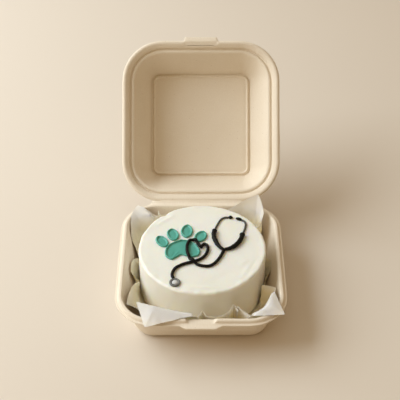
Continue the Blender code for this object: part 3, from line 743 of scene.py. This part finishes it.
# Each column of the sheet is first drawn with fine steps, of which each span keeps only so many
PAPER_FINE = 5
PAPER_STEPS = (2, 2, 3, 4, 5, 5)
# Columns of the sheet round the cake: the angle of its foot, how far its middle leans to the tray
# (0 at the cake, 1 at the wall), where it bends over, if it does, and its free edge. A place is
# (angle, distance from the cake's axis, height).
PAPER_COLUMNS = (
    (350, 0.3, (351, 58.6, 22)), (355, 0.5, (355, 61.2, 22.5)), (1, 0.7, (1, 63.6, 23)),
    (8, 0.7, (8.5, 64, 24.5)), (13, 0.6, (13, 62, 23.5)), (19, 0.4, (18, 60, 19)),
    (26, 0.4, (26, 60.5, 20)), (34, 0.5, (35.5, 62, 27)), (40, 0.7, (41, 70, 33)),
    (43, 0.9, (42, 76, 38)), (45, 0.9, (43.5, 79, 38.5), (43.5, 80.5, 42)),
    (48, 0.9, (46.5, 81, 40), (46.5, 84, 46)), (50, 0.9, (49, 82, 42), (49, 86, 50)),
    (52, 0.9, (51, 82.5, 43), (52, 87, 54)), (56, 0.9, (55, 81, 42), (56, 83, 50.5)),
    (61, 0.9, (61, 78.5, 39), (62, 78.5, 44)), (66, 0.9, (66.5, 75, 38.5)), (72, 0.8, (72, 71.5, 34)),
    (80, 0.7, (80, 68.5, 32)), (90, 0.6, (90, 67, 31)), (101, 0.7, (101, 67.5, 32)),
    (112, 0.8, (112, 70, 33)), (118, 0.8, (118, 72.6, 33.5)), (121.5, 0.9, (121.5, 72.8, 33.8)),
    (123.6, 0.9, (123.6, 73.2, 36)), (124.6, 0.9, (124.6, 73.4, 41.5)), (125.6, 0.8, (125.8, 73.6, 35)),
    (127, 0.7, (127.3, 76.4, 36)), (129, 0.6, (129.4, 76.5, 38), (129.1, 81.2, 38.6)),
    (131, 0.55, (131, 76, 38.2), (130.6, 87.2, 40.9)), (133, 0.6, (133.2, 77, 37), (132.4, 91.6, 41.6)),
    (135.5, 0.75, (135.6, 79, 36.2), (134.4, 91.2, 41.2)),
    (138, 0.85, (138, 82, 36), (137.1, 89.9, 40.4)), (141, 0.9, (140.8, 84, 36.8), (141.1, 87.7, 38.6)),
    (143.5, 0.9, (143, 85, 38)), (146.5, 0.9, (146.5, 81.3, 34.5)), (150, 0.9, (150, 77.8, 31)),
    (153, 0.8, (152.5, 74.5, 27)), (157, 0.7, (156.5, 68.5, 24.5)), (161, 0.5, (161, 64, 23)),
    (164, 0.3, (164, 60, 17)), (167, 0.3, (166.5, 61.3, 23)), (172, 0.5, (172, 64, 27)),
    (179, 0.5, (179, 65.3, 28.5)), (187, 0.5, (187, 65.5, 28)), (190.5, 0.6, (190.5, 62.5, 25)),
    (193.5, 0.3, (193, 59.3, 22.5)), (196, 0.3, (195.5, 59.4, 17)), (198.5, 0.3, (198, 59.6, 26)),
    (201, 0.4, (200.5, 63.8, 28.5)), (206, 0.5, (205.5, 69.5, 31)), (213, 0.5, (213, 77.5, 33.5)),
    (219, 0.55, (219.5, 85, 35)), (224, 0.6, (224.5, 82.6, 36)), (228, 0.8, (229, 80.8, 37)),
    (229.5, 0.8, (225.1, 79.8, 40.4), (225.3, 81.2, 41.2)),
    (231.5, 0.8, (229, 77.9, 41.3), (230.7, 85.4, 40.5)),
    (234.5, 0.8, (233, 75.8, 41.2), (235.5, 90.8, 39.6)),
    (238, 0.8, (237.5, 73.6, 41), (239.7, 96.4, 38.7)),
    (242, 0.8, (241.5, 72.3, 40.7), (243.4, 90.5, 38.8)),
    (246.5, 0.8, (246.5, 71.1, 40.3), (247.4, 84.8, 38.8)),
    (251.5, 0.8, (251.5, 70.5, 39.9), (252, 79.7, 38.7)),
    (257, 0.8, (257, 70.3, 39.5), (257.2, 75, 38.6)),
    (262.5, 0.8, (262.5, 70.4, 39), (262.7, 71.8, 38.6)), (267, 0.7, (267, 70.5, 38)),
    (270, 0.6, (270, 65.6, 40)), (272.5, 0.7, (272.5, 69.6, 37.4)), (278, 0.8, (278, 71, 36.8)),
    (284.5, 0.7, (284.5, 70.6, 37)), (290, 0.6, (290, 68.2, 38)), (295, 0.4, (295, 63.8, 39.5)),
    (296.2, 0.6, (295.8, 71, 36.6)), (297.5, 0.5, (296.6, 67, 39.6)), (299, 0.6, (297.8, 71.5, 38.6)),
    (301, 0.7, (299.2, 76, 38)), (301.5, 0.8, (300.3, 80.6, 38)),
    (303, 0.85, (303, 81.4, 38.4), (303, 84, 38.6)),
    (306.5, 0.9, (306.5, 82.3, 39.4), (306.5, 87.6, 38.6)),
    (310, 0.9, (310, 82.2, 40.2), (310.5, 91.8, 38.6)),
    (314, 0.9, (313.5, 80.9, 40.8), (315.4, 98.2, 38.6)), (317, 0.9, (317, 79, 41), (317.8, 91.5, 39.4)),
    (320.5, 0.9, (320.5, 77.6, 40.9), (320.5, 84.8, 40)),
    (323, 0.9, (323.3, 76.9, 40.3), (323, 79.9, 40.3)),
    (324.5, 0.9, (325, 76, 38.8), (325.2, 76.8, 39.6)), (325.5, 0.9, (329.5, 74.6, 35.6)),
    (326.5, 0.8, (332, 73.4, 35.2)), (328, 0.5, (331.3, 67.5, 35)), (330, 0.2, (330.6, 61.5, 34.2)),
    (334, 0.2, (334, 59.2, 20)), (338, 0.2, (339, 58.8, 17)), (342, 0.3, (342, 59, 25)),
    (346, 0.3, (346.5, 58.8, 18)),
)


def tray_reach(angle, height):
    """Distance from the cake's axis to the tray's upper face at an angle and a height."""
    rows = [row for row in TRAY_PROFILE if row[0] >= WALL_INSET]
    inset, radius = rows[-1][0], rows[-1][2]
    for lower, upper in zip(rows[:-1], rows[1:]):
        if lower[1] <= height < upper[1]:
            share = (height - lower[1]) / (upper[1] - lower[1])
            inset = lower[0] + share * (upper[0] - lower[0])
            radius = lower[2] + share * (upper[2] - lower[2])
    half = Vector((TRAY_HALF[0] - inset - radius, TRAY_HALF[1] - inset - radius))
    direction = Vector((math.cos(angle), math.sin(angle)))
    low, high = 0.0, 2 * TRAY_HALF[1]
    for _ in range(HALVINGS):
        middle = (low + high) / 2
        x, y = CAKE_CENTRE.xy + middle * direction
        beyond = Vector((max(0.0, abs(x) - half.x), max(0.0, abs(y) - half.y)))
        low, high = (middle, high) if beyond.length < radius else (low, middle)
    return low


def cake_reach(height, gap):
    """Distance from the cake's axis that leaves a gap to its side, and less at its rounded foot."""
    return CAKE_RADIUS + gap - FOOT_INSET * (1 - even_share(height, *FOOT_HEIGHTS))


def paper_place(degrees, reach, height):
    """A place round the cake in millimetres."""
    angle = math.radians(degrees)
    return CAKE_CENTRE + Vector((reach * math.cos(angle), reach * math.sin(angle), height))


def paper_controls(column):
    """The places that one column of the sheet runs through, from under the cake to its free edge."""
    foot, lean, *ends = column
    turn = ((ends[0][0] - foot + 180) % 360) - 180
    places = [paper_place(foot, *place) for place in UNDER_CAKE]
    for share, part in ON_WAY_UP:
        degrees = foot + share * turn
        height = max(LEAST_RISE, share * ends[0][2])
        near = cake_reach(height, DRAWN_GAPS[0])
        wall = tray_reach(math.radians(degrees), height) - DRAWN_GAPS[1]
        places.append(paper_place(degrees, near + lean * part / ON_WAY_UP[-1][1] * (wall - near), height))
    ends = [paper_place(*end) for end in ends]
    if len(ends) == 1:
        ends.insert(0, places[-1] + EDGE_SPAN * (ends[0] - places[-1]))
    return places + ends


def crumpled(point):
    """A point of the sheet moved by its small creases, and kept between the cake and the tray."""
    flat = point - CAKE_CENTRE
    outward = Vector((flat.x, flat.y, 0.0)).normalized()
    push = 0.0
    for depth, pace, climb, begin in PAPER_CREASES:
        ridge = abs(wave(point.x * pace, point.y * pace, point.z * climb + begin))
        push += depth * (PAPER_CREASE_LEVEL - ridge)
    moved = point + eased(point.z, *PAPER_CREASE_HEIGHTS) * push * (outward + PAPER_CREASE_LIFT)
    flat = moved - CAKE_CENTRE
    reach = Vector((flat.x, flat.y)).length
    if STANDING_HEIGHTS[0] < moved.z < STANDING_HEIGHTS[1] and reach > STANDING_REACH:
        wall = tray_reach(math.atan2(flat.y, flat.x), moved.z) - CREASED_GAPS[1]
        kept = min(max(reach, cake_reach(moved.z, CREASED_GAPS[0])), wall)
        flat = Vector((flat.x, flat.y, 0.0)) * (kept / reach)
        moved = CAKE_CENTRE + flat + Vector((0, 0, moved.z))
    return moved


def paper_rings():
    """The sheet as rings from its middle to its free edge."""
    controls = [paper_controls(column) for column in PAPER_COLUMNS]
    levels = [flowing(level, PAPER_SPLIT, closed=True, bend=PAPER_BEND) for level in zip(*controls)]
    columns = []
    for line in zip(*levels):
        fine = flowing(line, PAPER_FINE)
        kept = []
        for span, count in enumerate(PAPER_STEPS):
            kept += [fine[PAPER_FINE * span + round(PAPER_FINE * step / count)] for step in range(count)]
        columns.append(kept + [fine[-1]])
    return [[crumpled(point) for point in ring] for ring in zip(*columns)]


def sheet_part(name, rings, thickness, above):
    """The part of a thin closed sheet above or below the rim. Both parts take their shading from
    the whole sheet, so no line shows where they meet."""
    shape = bmesh.new()
    loops = joined_loops(shape, rings)
    shape.faces.new(loops[0][::-1])
    whole = shape.verts[:] + shape.edges[:] + shape.faces[:]
    bmesh.ops.bisect_plane(shape, geom=whole, plane_co=(0.0, 0.0, PAPER_RIM), plane_no=(0.0, 0.0, 1.0))
    bmesh.ops.recalc_face_normals(shape, faces=shape.faces)
    shape.normal_update()
    kept = [face for face in shape.faces if (face.calc_center_median().z > PAPER_RIM) == above]
    order = {}
    for face in kept:
        for vert in face.verts:
            order.setdefault(vert, len(order))
    half = thickness / 2
    points = [vert.co + vert.normal * side for side in (half, -half) for vert in order]
    shading = [vert.normal[:] for vert in order] + [(-vert.normal)[:] for vert in order]
    total = len(order)
    faces = []
    borders = {}
    for face in kept:
        corners = [order[vert] for vert in face.verts]
        faces.append(corners)
        faces.append([total + corner for corner in reversed(corners)])
        for start, end in zip(corners, corners[1:] + corners[:1]):
            if (end, start) in borders:
                del borders[(end, start)]
            else:
                borders[(start, end)] = True
    for start, end in borders:
        faces.append([end, start, total + start, total + end])
    mesh = bpy.data.meshes.new(name)
    mesh.from_pydata(points, [], faces)
    mesh.shade_smooth()
    mesh.normals_split_custom_set_from_vertices(shading)
    shape.free()
    return mesh


def paper_finish():
    """Thin white greaseproof paper that lets some light through. Below the rim its colour leans to the
    warm pulp's, more so lower down: painted warm bounce light from the pulp, not the paper's own colour."""
    finish, tree, shader = new_finish("greaseproof_paper", PAPER_ROUGHNESS)
    place = tree.nodes.new("ShaderNodeTexCoord").outputs["Object"]
    share = ranged(tree, clouded(tree, place, 60.0, 4.0), 0.3, 0.7)
    tint = blend_colours(tree, share, PAPER_TINT, PAPER_SHADE)
    level = add_node(tree, "ShaderNodeSeparateXYZ", {"Vector": place}).outputs["Z"]
    # Painted warm bounce light from the pulp, stronger lower down in the tray
    low = ranged(tree, level, PAPER_FADE_START * MM, PAPER_RIM * MM, PAPER_PAINTED_BOUNCE_SHARE, 0.0)
    tree.links.new(blend_colours(tree, low, tint, PAPER_PAINTED_BOUNCE), shader.inputs["Base Color"])
    add_relief(tree, shader, clouded(tree, place, 420.0, 3.0), 0.3, 0.1)
    shader.inputs["Subsurface Weight"].default_value = PAPER_GLOW
    shader.inputs["Subsurface Radius"].default_value = PAPER_GLOW_COLOUR
    shader.inputs["Subsurface Scale"].default_value = PAPER_GLOW_DEPTH * MM
    return finish


sheet = paper_rings()
greaseproof = paper_finish()
low_mesh = sheet_part("paper_low", sheet, PAPER_SKIN, above=False)
top_mesh = sheet_part("paper_top", sheet, PAPER_SKIN, above=True)
add_piece("paper_low", low_mesh, greaseproof, ["paper_liner"])
paper_top = add_piece("paper_top", top_mesh, greaseproof)
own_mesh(paper_top)

# The paw is piped in teal cream. Each toe and the pad was outlined with a thin bead and filled in
# with a little less, so the rim stands up round a shallow hollow. It sticks to the cake's top.
TEAL = (0.098, 0.41, 0.345)
TEAL_SHADE = (0.082, 0.365, 0.30)
# The bead and filling in section: (distance in from the outline, height)
PAW_SECTION = (
    (0.1, -0.15), (-0.3, 0.25), (-0.45, 0.7), (-0.35, 1.25), (0.0, 1.75), (0.45, 1.95), (0.85, 1.8),
    (1.15, 1.3), (1.4, 0.85), (1.9, 0.7),
)
FILLING_SHARES = (0.86, 0.72, 0.58, 0.44, 0.3, 0.16)
# The outline's ends leave a small pip where they meet
PIP_REACH = 1.0
PIP_RISE = 0.22
# Each toe: centre, half length and half width, and the angle of its length
TOES = (
    ((-35.3, 7.9), (7.3, 4.7), 121), ((-25.7, 16.9), (7.4, 4.9), 106), ((-12.9, 21.4), (7.9, 5.1), 87),
    ((-0.4, 14.4), (6.9, 5.0), 63),
)
TOE_STATIONS = 56
TOE_JOIN = 0.97
PAD_STEPS = 8
PAD_OUTLINE = (
    (-31.9, -6.3), (-30.7, 0.0), (-27.2, 4.8), (-23.0, 7.4), (-18.3, 9.2), (-13.7, 9.2), (-9.3, 7.8),
    (-5.8, 4.9), (-3.2, 0.6), (-1.2, -5.0), (-2.3, -9.7), (-7.6, -11.5), (-13.0, -10.4), (-17.6, -8.8),
    (-21.6, -11.6), (-26.2, -14.7), (-30.6, -12.0),
)
PAD_JOINS = ((-18.3, 9.2), (-1.2, -5.0))
# The knife's slip in the pad's filling: where it starts and ends, and its depth
SMEAR = (Vector((-25.0, -12.0)), Vector((-20.0, -1.0)), 0.65)


def anticlockwise(outline):
    """The outline, turned round if it ran the other way."""
    area = sum(a.x * b.y - a.y * b.x for a, b in zip(outline, outline[1:] + outline[:1]))
    return outline if area > 0 else outline[::-1]


def moved_in(outline, distance):
    """The outline moved inward by a distance."""
    count = len(outline)
    moved = []
    for index, point in enumerate(outline):
        along = outline[(index + 1) % count] - outline[index - 1]
        moved.append(point + distance * Vector((-along.y, along.x)).normalized())
    return moved


def smear_height(point):
    """The slip of the knife: a ridge with a dip beside it."""
    start, end, depth = SMEAR
    along = end - start
    share = (point - start).dot(along) / along.length_squared
    side = (point - start).cross(along) / along.length
    return depth * bump(share - 0.5, 0.45) * (bump(side - 0.7, 0.6) - bump(side + 0.5, 0.8))


def iced_shape(name, outline, finish, joins, smeared=False):
    """One flooded shape of the paw on the cake's top. The ends of its outline meet at the joins."""
    rings = []
    for inset, height in PAW_SECTION:
        ring = []
        for start, point in zip(outline, moved_in(outline, inset)):
            pip = PIP_RISE * max(bump((start - Vector(join)).length, PIP_REACH) for join in joins)
            uneven = 0.16 * wave(point.x * 0.3, point.y * 0.3, 2.0) + pip * (1 if inset < 1.0 else 0)
            place = point + pip * (start - point if inset > 0.5 else point - start)
            ring.append(Vector((place.x, place.y, CAKE_TOP + height * (1 + uneven))))
        rings.append(ring)
    inner = moved_in(outline, PAW_SECTION[-1][0])
    middle = sum(inner, Vector((0.0, 0.0))) / len(inner)
    for share in FILLING_SHARES:
        ring = []
        for point in inner:
            place = middle + share * (point - middle)
            height = PAW_SECTION[-1][1] + 0.12 * (1 - share)
            height += 0.16 * wave(place.x * 0.22, place.y * 0.22, 6.0)
            if smeared:
                height += smear_height(place)
            ring.append(Vector((place.x, place.y, CAKE_TOP + height)))
        rings.append(ring)
    add_piece(name, closed_mesh(name, rings), finish, [name])


teal = cream_finish("teal_cream", TEAL, TEAL_SHADE, (0.36, 0.5), 0.06, 0.06, drift=120.0, drag=700.0)
iced_outlines = []
for number, (centre, (half_length, half_width), degrees) in enumerate(TOES, start=1):
    centre = Vector(centre)
    lengthwise = Vector((math.cos(math.radians(degrees)), math.sin(math.radians(degrees))))
    outline = []
    for station in range(TOE_STATIONS):
        angle = math.tau * station / TOE_STATIONS
        along = half_length * math.cos(angle) * lengthwise
        across = half_width * math.sin(angle) * Vector((-lengthwise.y, lengthwise.x))
        uneven = 1 + 0.025 * wave(math.cos(angle) * 1.5, math.sin(angle) * 1.5, number * 3.0)
        outline.append(centre + (along + across) * uneven)
    iced_outlines.append(anticlockwise(outline))
    tip = centre + TOE_JOIN * half_length * lengthwise
    iced_shape(f"paw_toe_{number}", iced_outlines[-1], teal, [tip])
iced_outlines.append(anticlockwise(flowing(PAD_OUTLINE, PAD_STEPS, closed=True)))
iced_shape("paw_pad", iced_outlines[-1], teal, PAD_JOINS, smeared=True)

# The stethoscope is drawn in black cream from a fine nozzle. One stroke of tube runs from the
# chest piece to the right half of a heart, and a second over it from the heart to the fork, where
# two thicker sleeves end in collars. Thin grey ear tubes bend in to two small black ear tips.
BLACK = (0.004, 0.004, 0.0035)
BLACK_SHADE = (0.009, 0.009, 0.008)
BLACK_SHEEN = 0.16
GREY = (0.085, 0.085, 0.08)
GREY_SHADE = (0.05, 0.05, 0.048)
TUBE_RADIUS = 1.42
SLEEVE_RADIUS = 2.15
SLEEVE_NECK = 1.45
COLLAR_SWELL = 0.2
COLLAR_PLACE = 0.96
COLLAR_HALF = 0.045
EAR_TUBE_RADIUS = 0.95
EAR_TIP_RADIUS = 1.3
BEAD_SIDES = 16
BEAD_FLATNESS = 0.92
BEAD_UNEVEN = 0.09
BEAD_SWAY = 0.16
ROUTE_STEPS = 9
ROUTE_SMOOTHINGS = 6
# Routes of the strokes on the cake's top
LOWER_TUBE = (
    (-23.8, -39.6), (-25.2, -34.4), (-24.5, -30.0), (-22.2, -25.7), (-18.3, -22.6), (-13.5, -20.2),
    (-8.4, -18.5), (-4.2, -16.8), (-0.2, -14.5), (3.2, -10.9), (5.6, -5.3), (6.1, -0.4), (4.9, 3.3),
    (2.9, 4.4), (1.1, 2.5), (-0.2, -0.8),
)
UPPER_TUBE = (
    (-0.5, -2.6), (-1.4, 0.5), (-2.9, 5.2), (-4.8, 8.6), (-7.4, 9.9), (-10.1, 7.9), (-12.2, 2.8),
    (-12.6, -3.2), (-11.7, -9.0), (-10.2, -13.8), (-7.9, -17.8), (-5.4, -20.0), (-2.3, -22.0),
    (1.8, -23.4), (7.5, -23.3), (11.8, -20.2), (15.2, -15.4), (18.1, -9.8), (20.4, -3.9),
)
SLEEVES = {
    "left": ((20.6, -4.0), (16.6, 0.3), (13.8, 6.0), (12.1, 11.9), (11.7, 17.5), (12.7, 22.4)),
    "right": ((20.0, -3.5), (25.2, -1.9), (29.8, 1.0), (33.9, 6.0), (36.7, 11.9), (37.9, 17.2)),
}
EAR_TUBES = {
    "left": (
        (12.8, 22.6), (13.8, 26.6), (15.3, 30.6), (17.4, 35.2), (19.9, 38.8), (22.6, 40.0), (26.0, 40.0),
    ),
    "right": ((38.0, 17.4), (39.6, 22.4), (40.8, 27.0), (41.2, 31.2), (40.2, 34.6), (37.2, 36.9)),
}
# Each ear tip: its route and its radii along it
EAR_TIPS = {
    "left": (((25.4, 39.9), (27.3, 40.1), (29.8, 39.5)), (0.9, 1.8, 0.6)),
    "right": (((38.0, 36.4), (35.2, 37.9), (32.3, 38.9)), (1.0, 1.6, 0.9)),
}


def inside(outline, point):
    """Whether a point lies inside an outline."""
    crossings = 0
    for a, b in zip(outline, outline[1:] + outline[:1]):
        if (a.y > point.y) != (b.y > point.y):
            if point.x < a.x + (point.y - a.y) * (b.x - a.x) / (b.y - a.y):
                crossings += 1
    return crossings % 2 == 1


def iced_height(point):
    """Height of the paw's icing at a point of the cake's top."""
    for outline in iced_outlines:
        edge = min((point - corner).length for corner in outline)
        if inside(outline, point):
            return 1.5 if edge < 2.2 else 1.0
        if edge < 1.0:
            return 1.2
    return 0.0


def laid_route(controls, radius, under=()):
    """The stroke's route over whatever lies on the cake, rising and falling smoothly."""
    route = flowing([(x, y, 0.0) for x, y in controls], ROUTE_STEPS)
    levels = []
    for place in route:
        level = iced_height(place.xy)
        for crossed in under:
            gap = min((place.xy - other.xy).length for other in crossed) / TUBE_RADIUS
            level = max(level, 2.3 * TUBE_RADIUS * (1 - even_share(gap, 0.6, 2.4)))
        levels.append(level)
    for _ in range(ROUTE_SMOOTHINGS):
        padded = levels[:1] + levels + levels[-1:]
        means = [sum(padded[index : index + 3]) / 3 for index in range(len(levels))]
        levels = [(max(level, mean) + mean) / 2 for level, mean in zip(levels, means)]
    for place, level in zip(route, levels):
        place.z = CAKE_TOP + 0.8 * radius + level
    return route


def add_bead(name, route, radii, seed, finish, bluntness=(1.0, 1.0)):
    """A piped bead along a route: a little wider than high and uneven. Each end is rounded, or
    blunt where its bluntness is small."""
    rings = []
    count = len(route)
    reach = [0.0]
    for here, there in zip(route[:-1], route[1:]):
        reach.append(reach[-1] + (there - here).length)
    for index, (place, radius) in enumerate(zip(route, radii)):
        forward = (route[min(count - 1, index + 1)] - route[max(0, index - 1)]).normalized()
        across = Vector((-forward.y, forward.x, 0.0)).normalized()
        upward = forward.cross(across).normalized()
        for from_end, blunt in zip((reach[index], reach[-1] - reach[index]), bluntness):
            if from_end < radius * blunt:
                radius *= math.sqrt(max(0.04, 1 - (1 - from_end / (radius * blunt)) ** 2))
        radius *= 1 + BEAD_UNEVEN * wave(reach[index] * 0.45, seed, 0.0)
        sway = BEAD_SWAY * wave(reach[index] * 0.25, seed, 4.0)
        ring = []
        for side in range(BEAD_SIDES):
            angle = math.tau * side / BEAD_SIDES
            offset = across * (radius * math.cos(angle) + sway)
            ring.append(place + offset + upward * (BEAD_FLATNESS * radius * math.sin(angle)))
        rings.append(ring)
    add_piece(name, closed_mesh(name, rings), finish, [name])


black = cream_finish("black_cream", BLACK, BLACK_SHADE, (0.42, 0.58), 0.1, sheen=BLACK_SHEEN)
grey = cream_finish("grey_cream", GREY, GREY_SHADE, (0.3, 0.46), 0.08)
lower_route = laid_route(LOWER_TUBE, TUBE_RADIUS)
upper_route = laid_route(UPPER_TUBE, TUBE_RADIUS, [lower_route])
for seed, (name, route) in enumerate((("tube_lower", lower_route), ("tube_upper", upper_route)), start=2):
    add_bead(name, route, [TUBE_RADIUS] * len(route), seed, black, (0.5, 0.7))

for seed, (side, controls) in enumerate(SLEEVES.items(), start=7):
    route = laid_route(controls, SLEEVE_RADIUS)
    radii = []
    for index in range(len(route)):
        share = index / (len(route) - 1)
        radius = SLEEVE_NECK + (SLEEVE_RADIUS - SLEEVE_NECK) * eased(share, 0.0, 0.5)
        radii.append(radius * (1 + COLLAR_SWELL * bump(share - COLLAR_PLACE, COLLAR_HALF)))
    add_bead(f"sleeve_{side}", route, radii, seed, black, (0.8, 0.35))

for seed, (side, controls) in enumerate(EAR_TUBES.items(), start=11):
    route = laid_route(controls, EAR_TUBE_RADIUS)
    add_bead(f"ear_tube_{side}", route, [EAR_TUBE_RADIUS] * len(route), seed, grey)

for seed, (side, (controls, thick)) in enumerate(EAR_TIPS.items(), start=15):
    radii = [value.x for value in flowing([(value, 0.0, 0.0) for value in thick], ROUTE_STEPS)]
    route = laid_route(controls, EAR_TIP_RADIUS)
    add_bead(f"ear_tip_{side}", route, radii, seed, black)

# The chest piece is a ring of dark grey cream round a drop of silver-white, piped at the end of
# the tube.
CHEST_CENTRE = Vector((-22.7, -43.2, CAKE_TOP))
CHEST_GREY = (0.20, 0.205, 0.205)
CHEST_GREY_SHADE = (0.13, 0.135, 0.135)
SILVER = (0.72, 0.74, 0.75)
SILVER_SHADE = (0.6, 0.62, 0.64)
RING_RADIUS = 3.8
RING_BEAD = 1.15
RING_STATIONS = 48
RING_WAVES = ((0.12, 1.7, 0.0, 3.0),)
DISC_STATIONS = 40
DISC_SECTION = ((2.2, -0.1), (2.65, 0.35), (2.7, 0.8), (2.4, 1.3), (1.9, 1.6), (1.2, 1.8), (0.5, 1.88))
ring_loops = []
for station in range(RING_STATIONS):
    angle = math.tau * station / RING_STATIONS
    outward = Vector((math.cos(angle), math.sin(angle), 0.0))
    fat = RING_BEAD * (1 + rippled(outward, 0.0, RING_WAVES))
    loop = []
    for side in range(BEAD_SIDES):
        swing = math.tau * side / BEAD_SIDES
        lift = Vector((0.0, 0.0, 0.85 * fat * math.sin(swing) + 0.75 * RING_BEAD))
        loop.append(CHEST_CENTRE + outward * (RING_RADIUS + fat * math.cos(swing)) + lift)
    ring_loops.append(loop)
ring_mesh = closed_mesh("chest_ring", ring_loops, hoop=True)
chest_grey = cream_finish("chest_grey_cream", CHEST_GREY, CHEST_GREY_SHADE, (0.4, 0.54), 0.08)
add_piece("chest_ring", ring_mesh, chest_grey, ["chest_ring"])
disc_rings = []
for radius, height in DISC_SECTION:
    ring = []
    for station in range(DISC_STATIONS):
        angle = math.tau * station / DISC_STATIONS
        reach = radius * (1 + 0.05 * wave(math.cos(angle), math.sin(angle), 8.0))
        ring.append(CHEST_CENTRE + Vector((reach * math.cos(angle), reach * math.sin(angle), height)))
    disc_rings.append(ring)
silver = cream_finish("silver_cream", SILVER, SILVER_SHADE, (0.42, 0.56), 0.06, 0.03)
add_piece("chest_disc", closed_mesh("chest_disc", disc_rings), silver, ["chest_disc"])
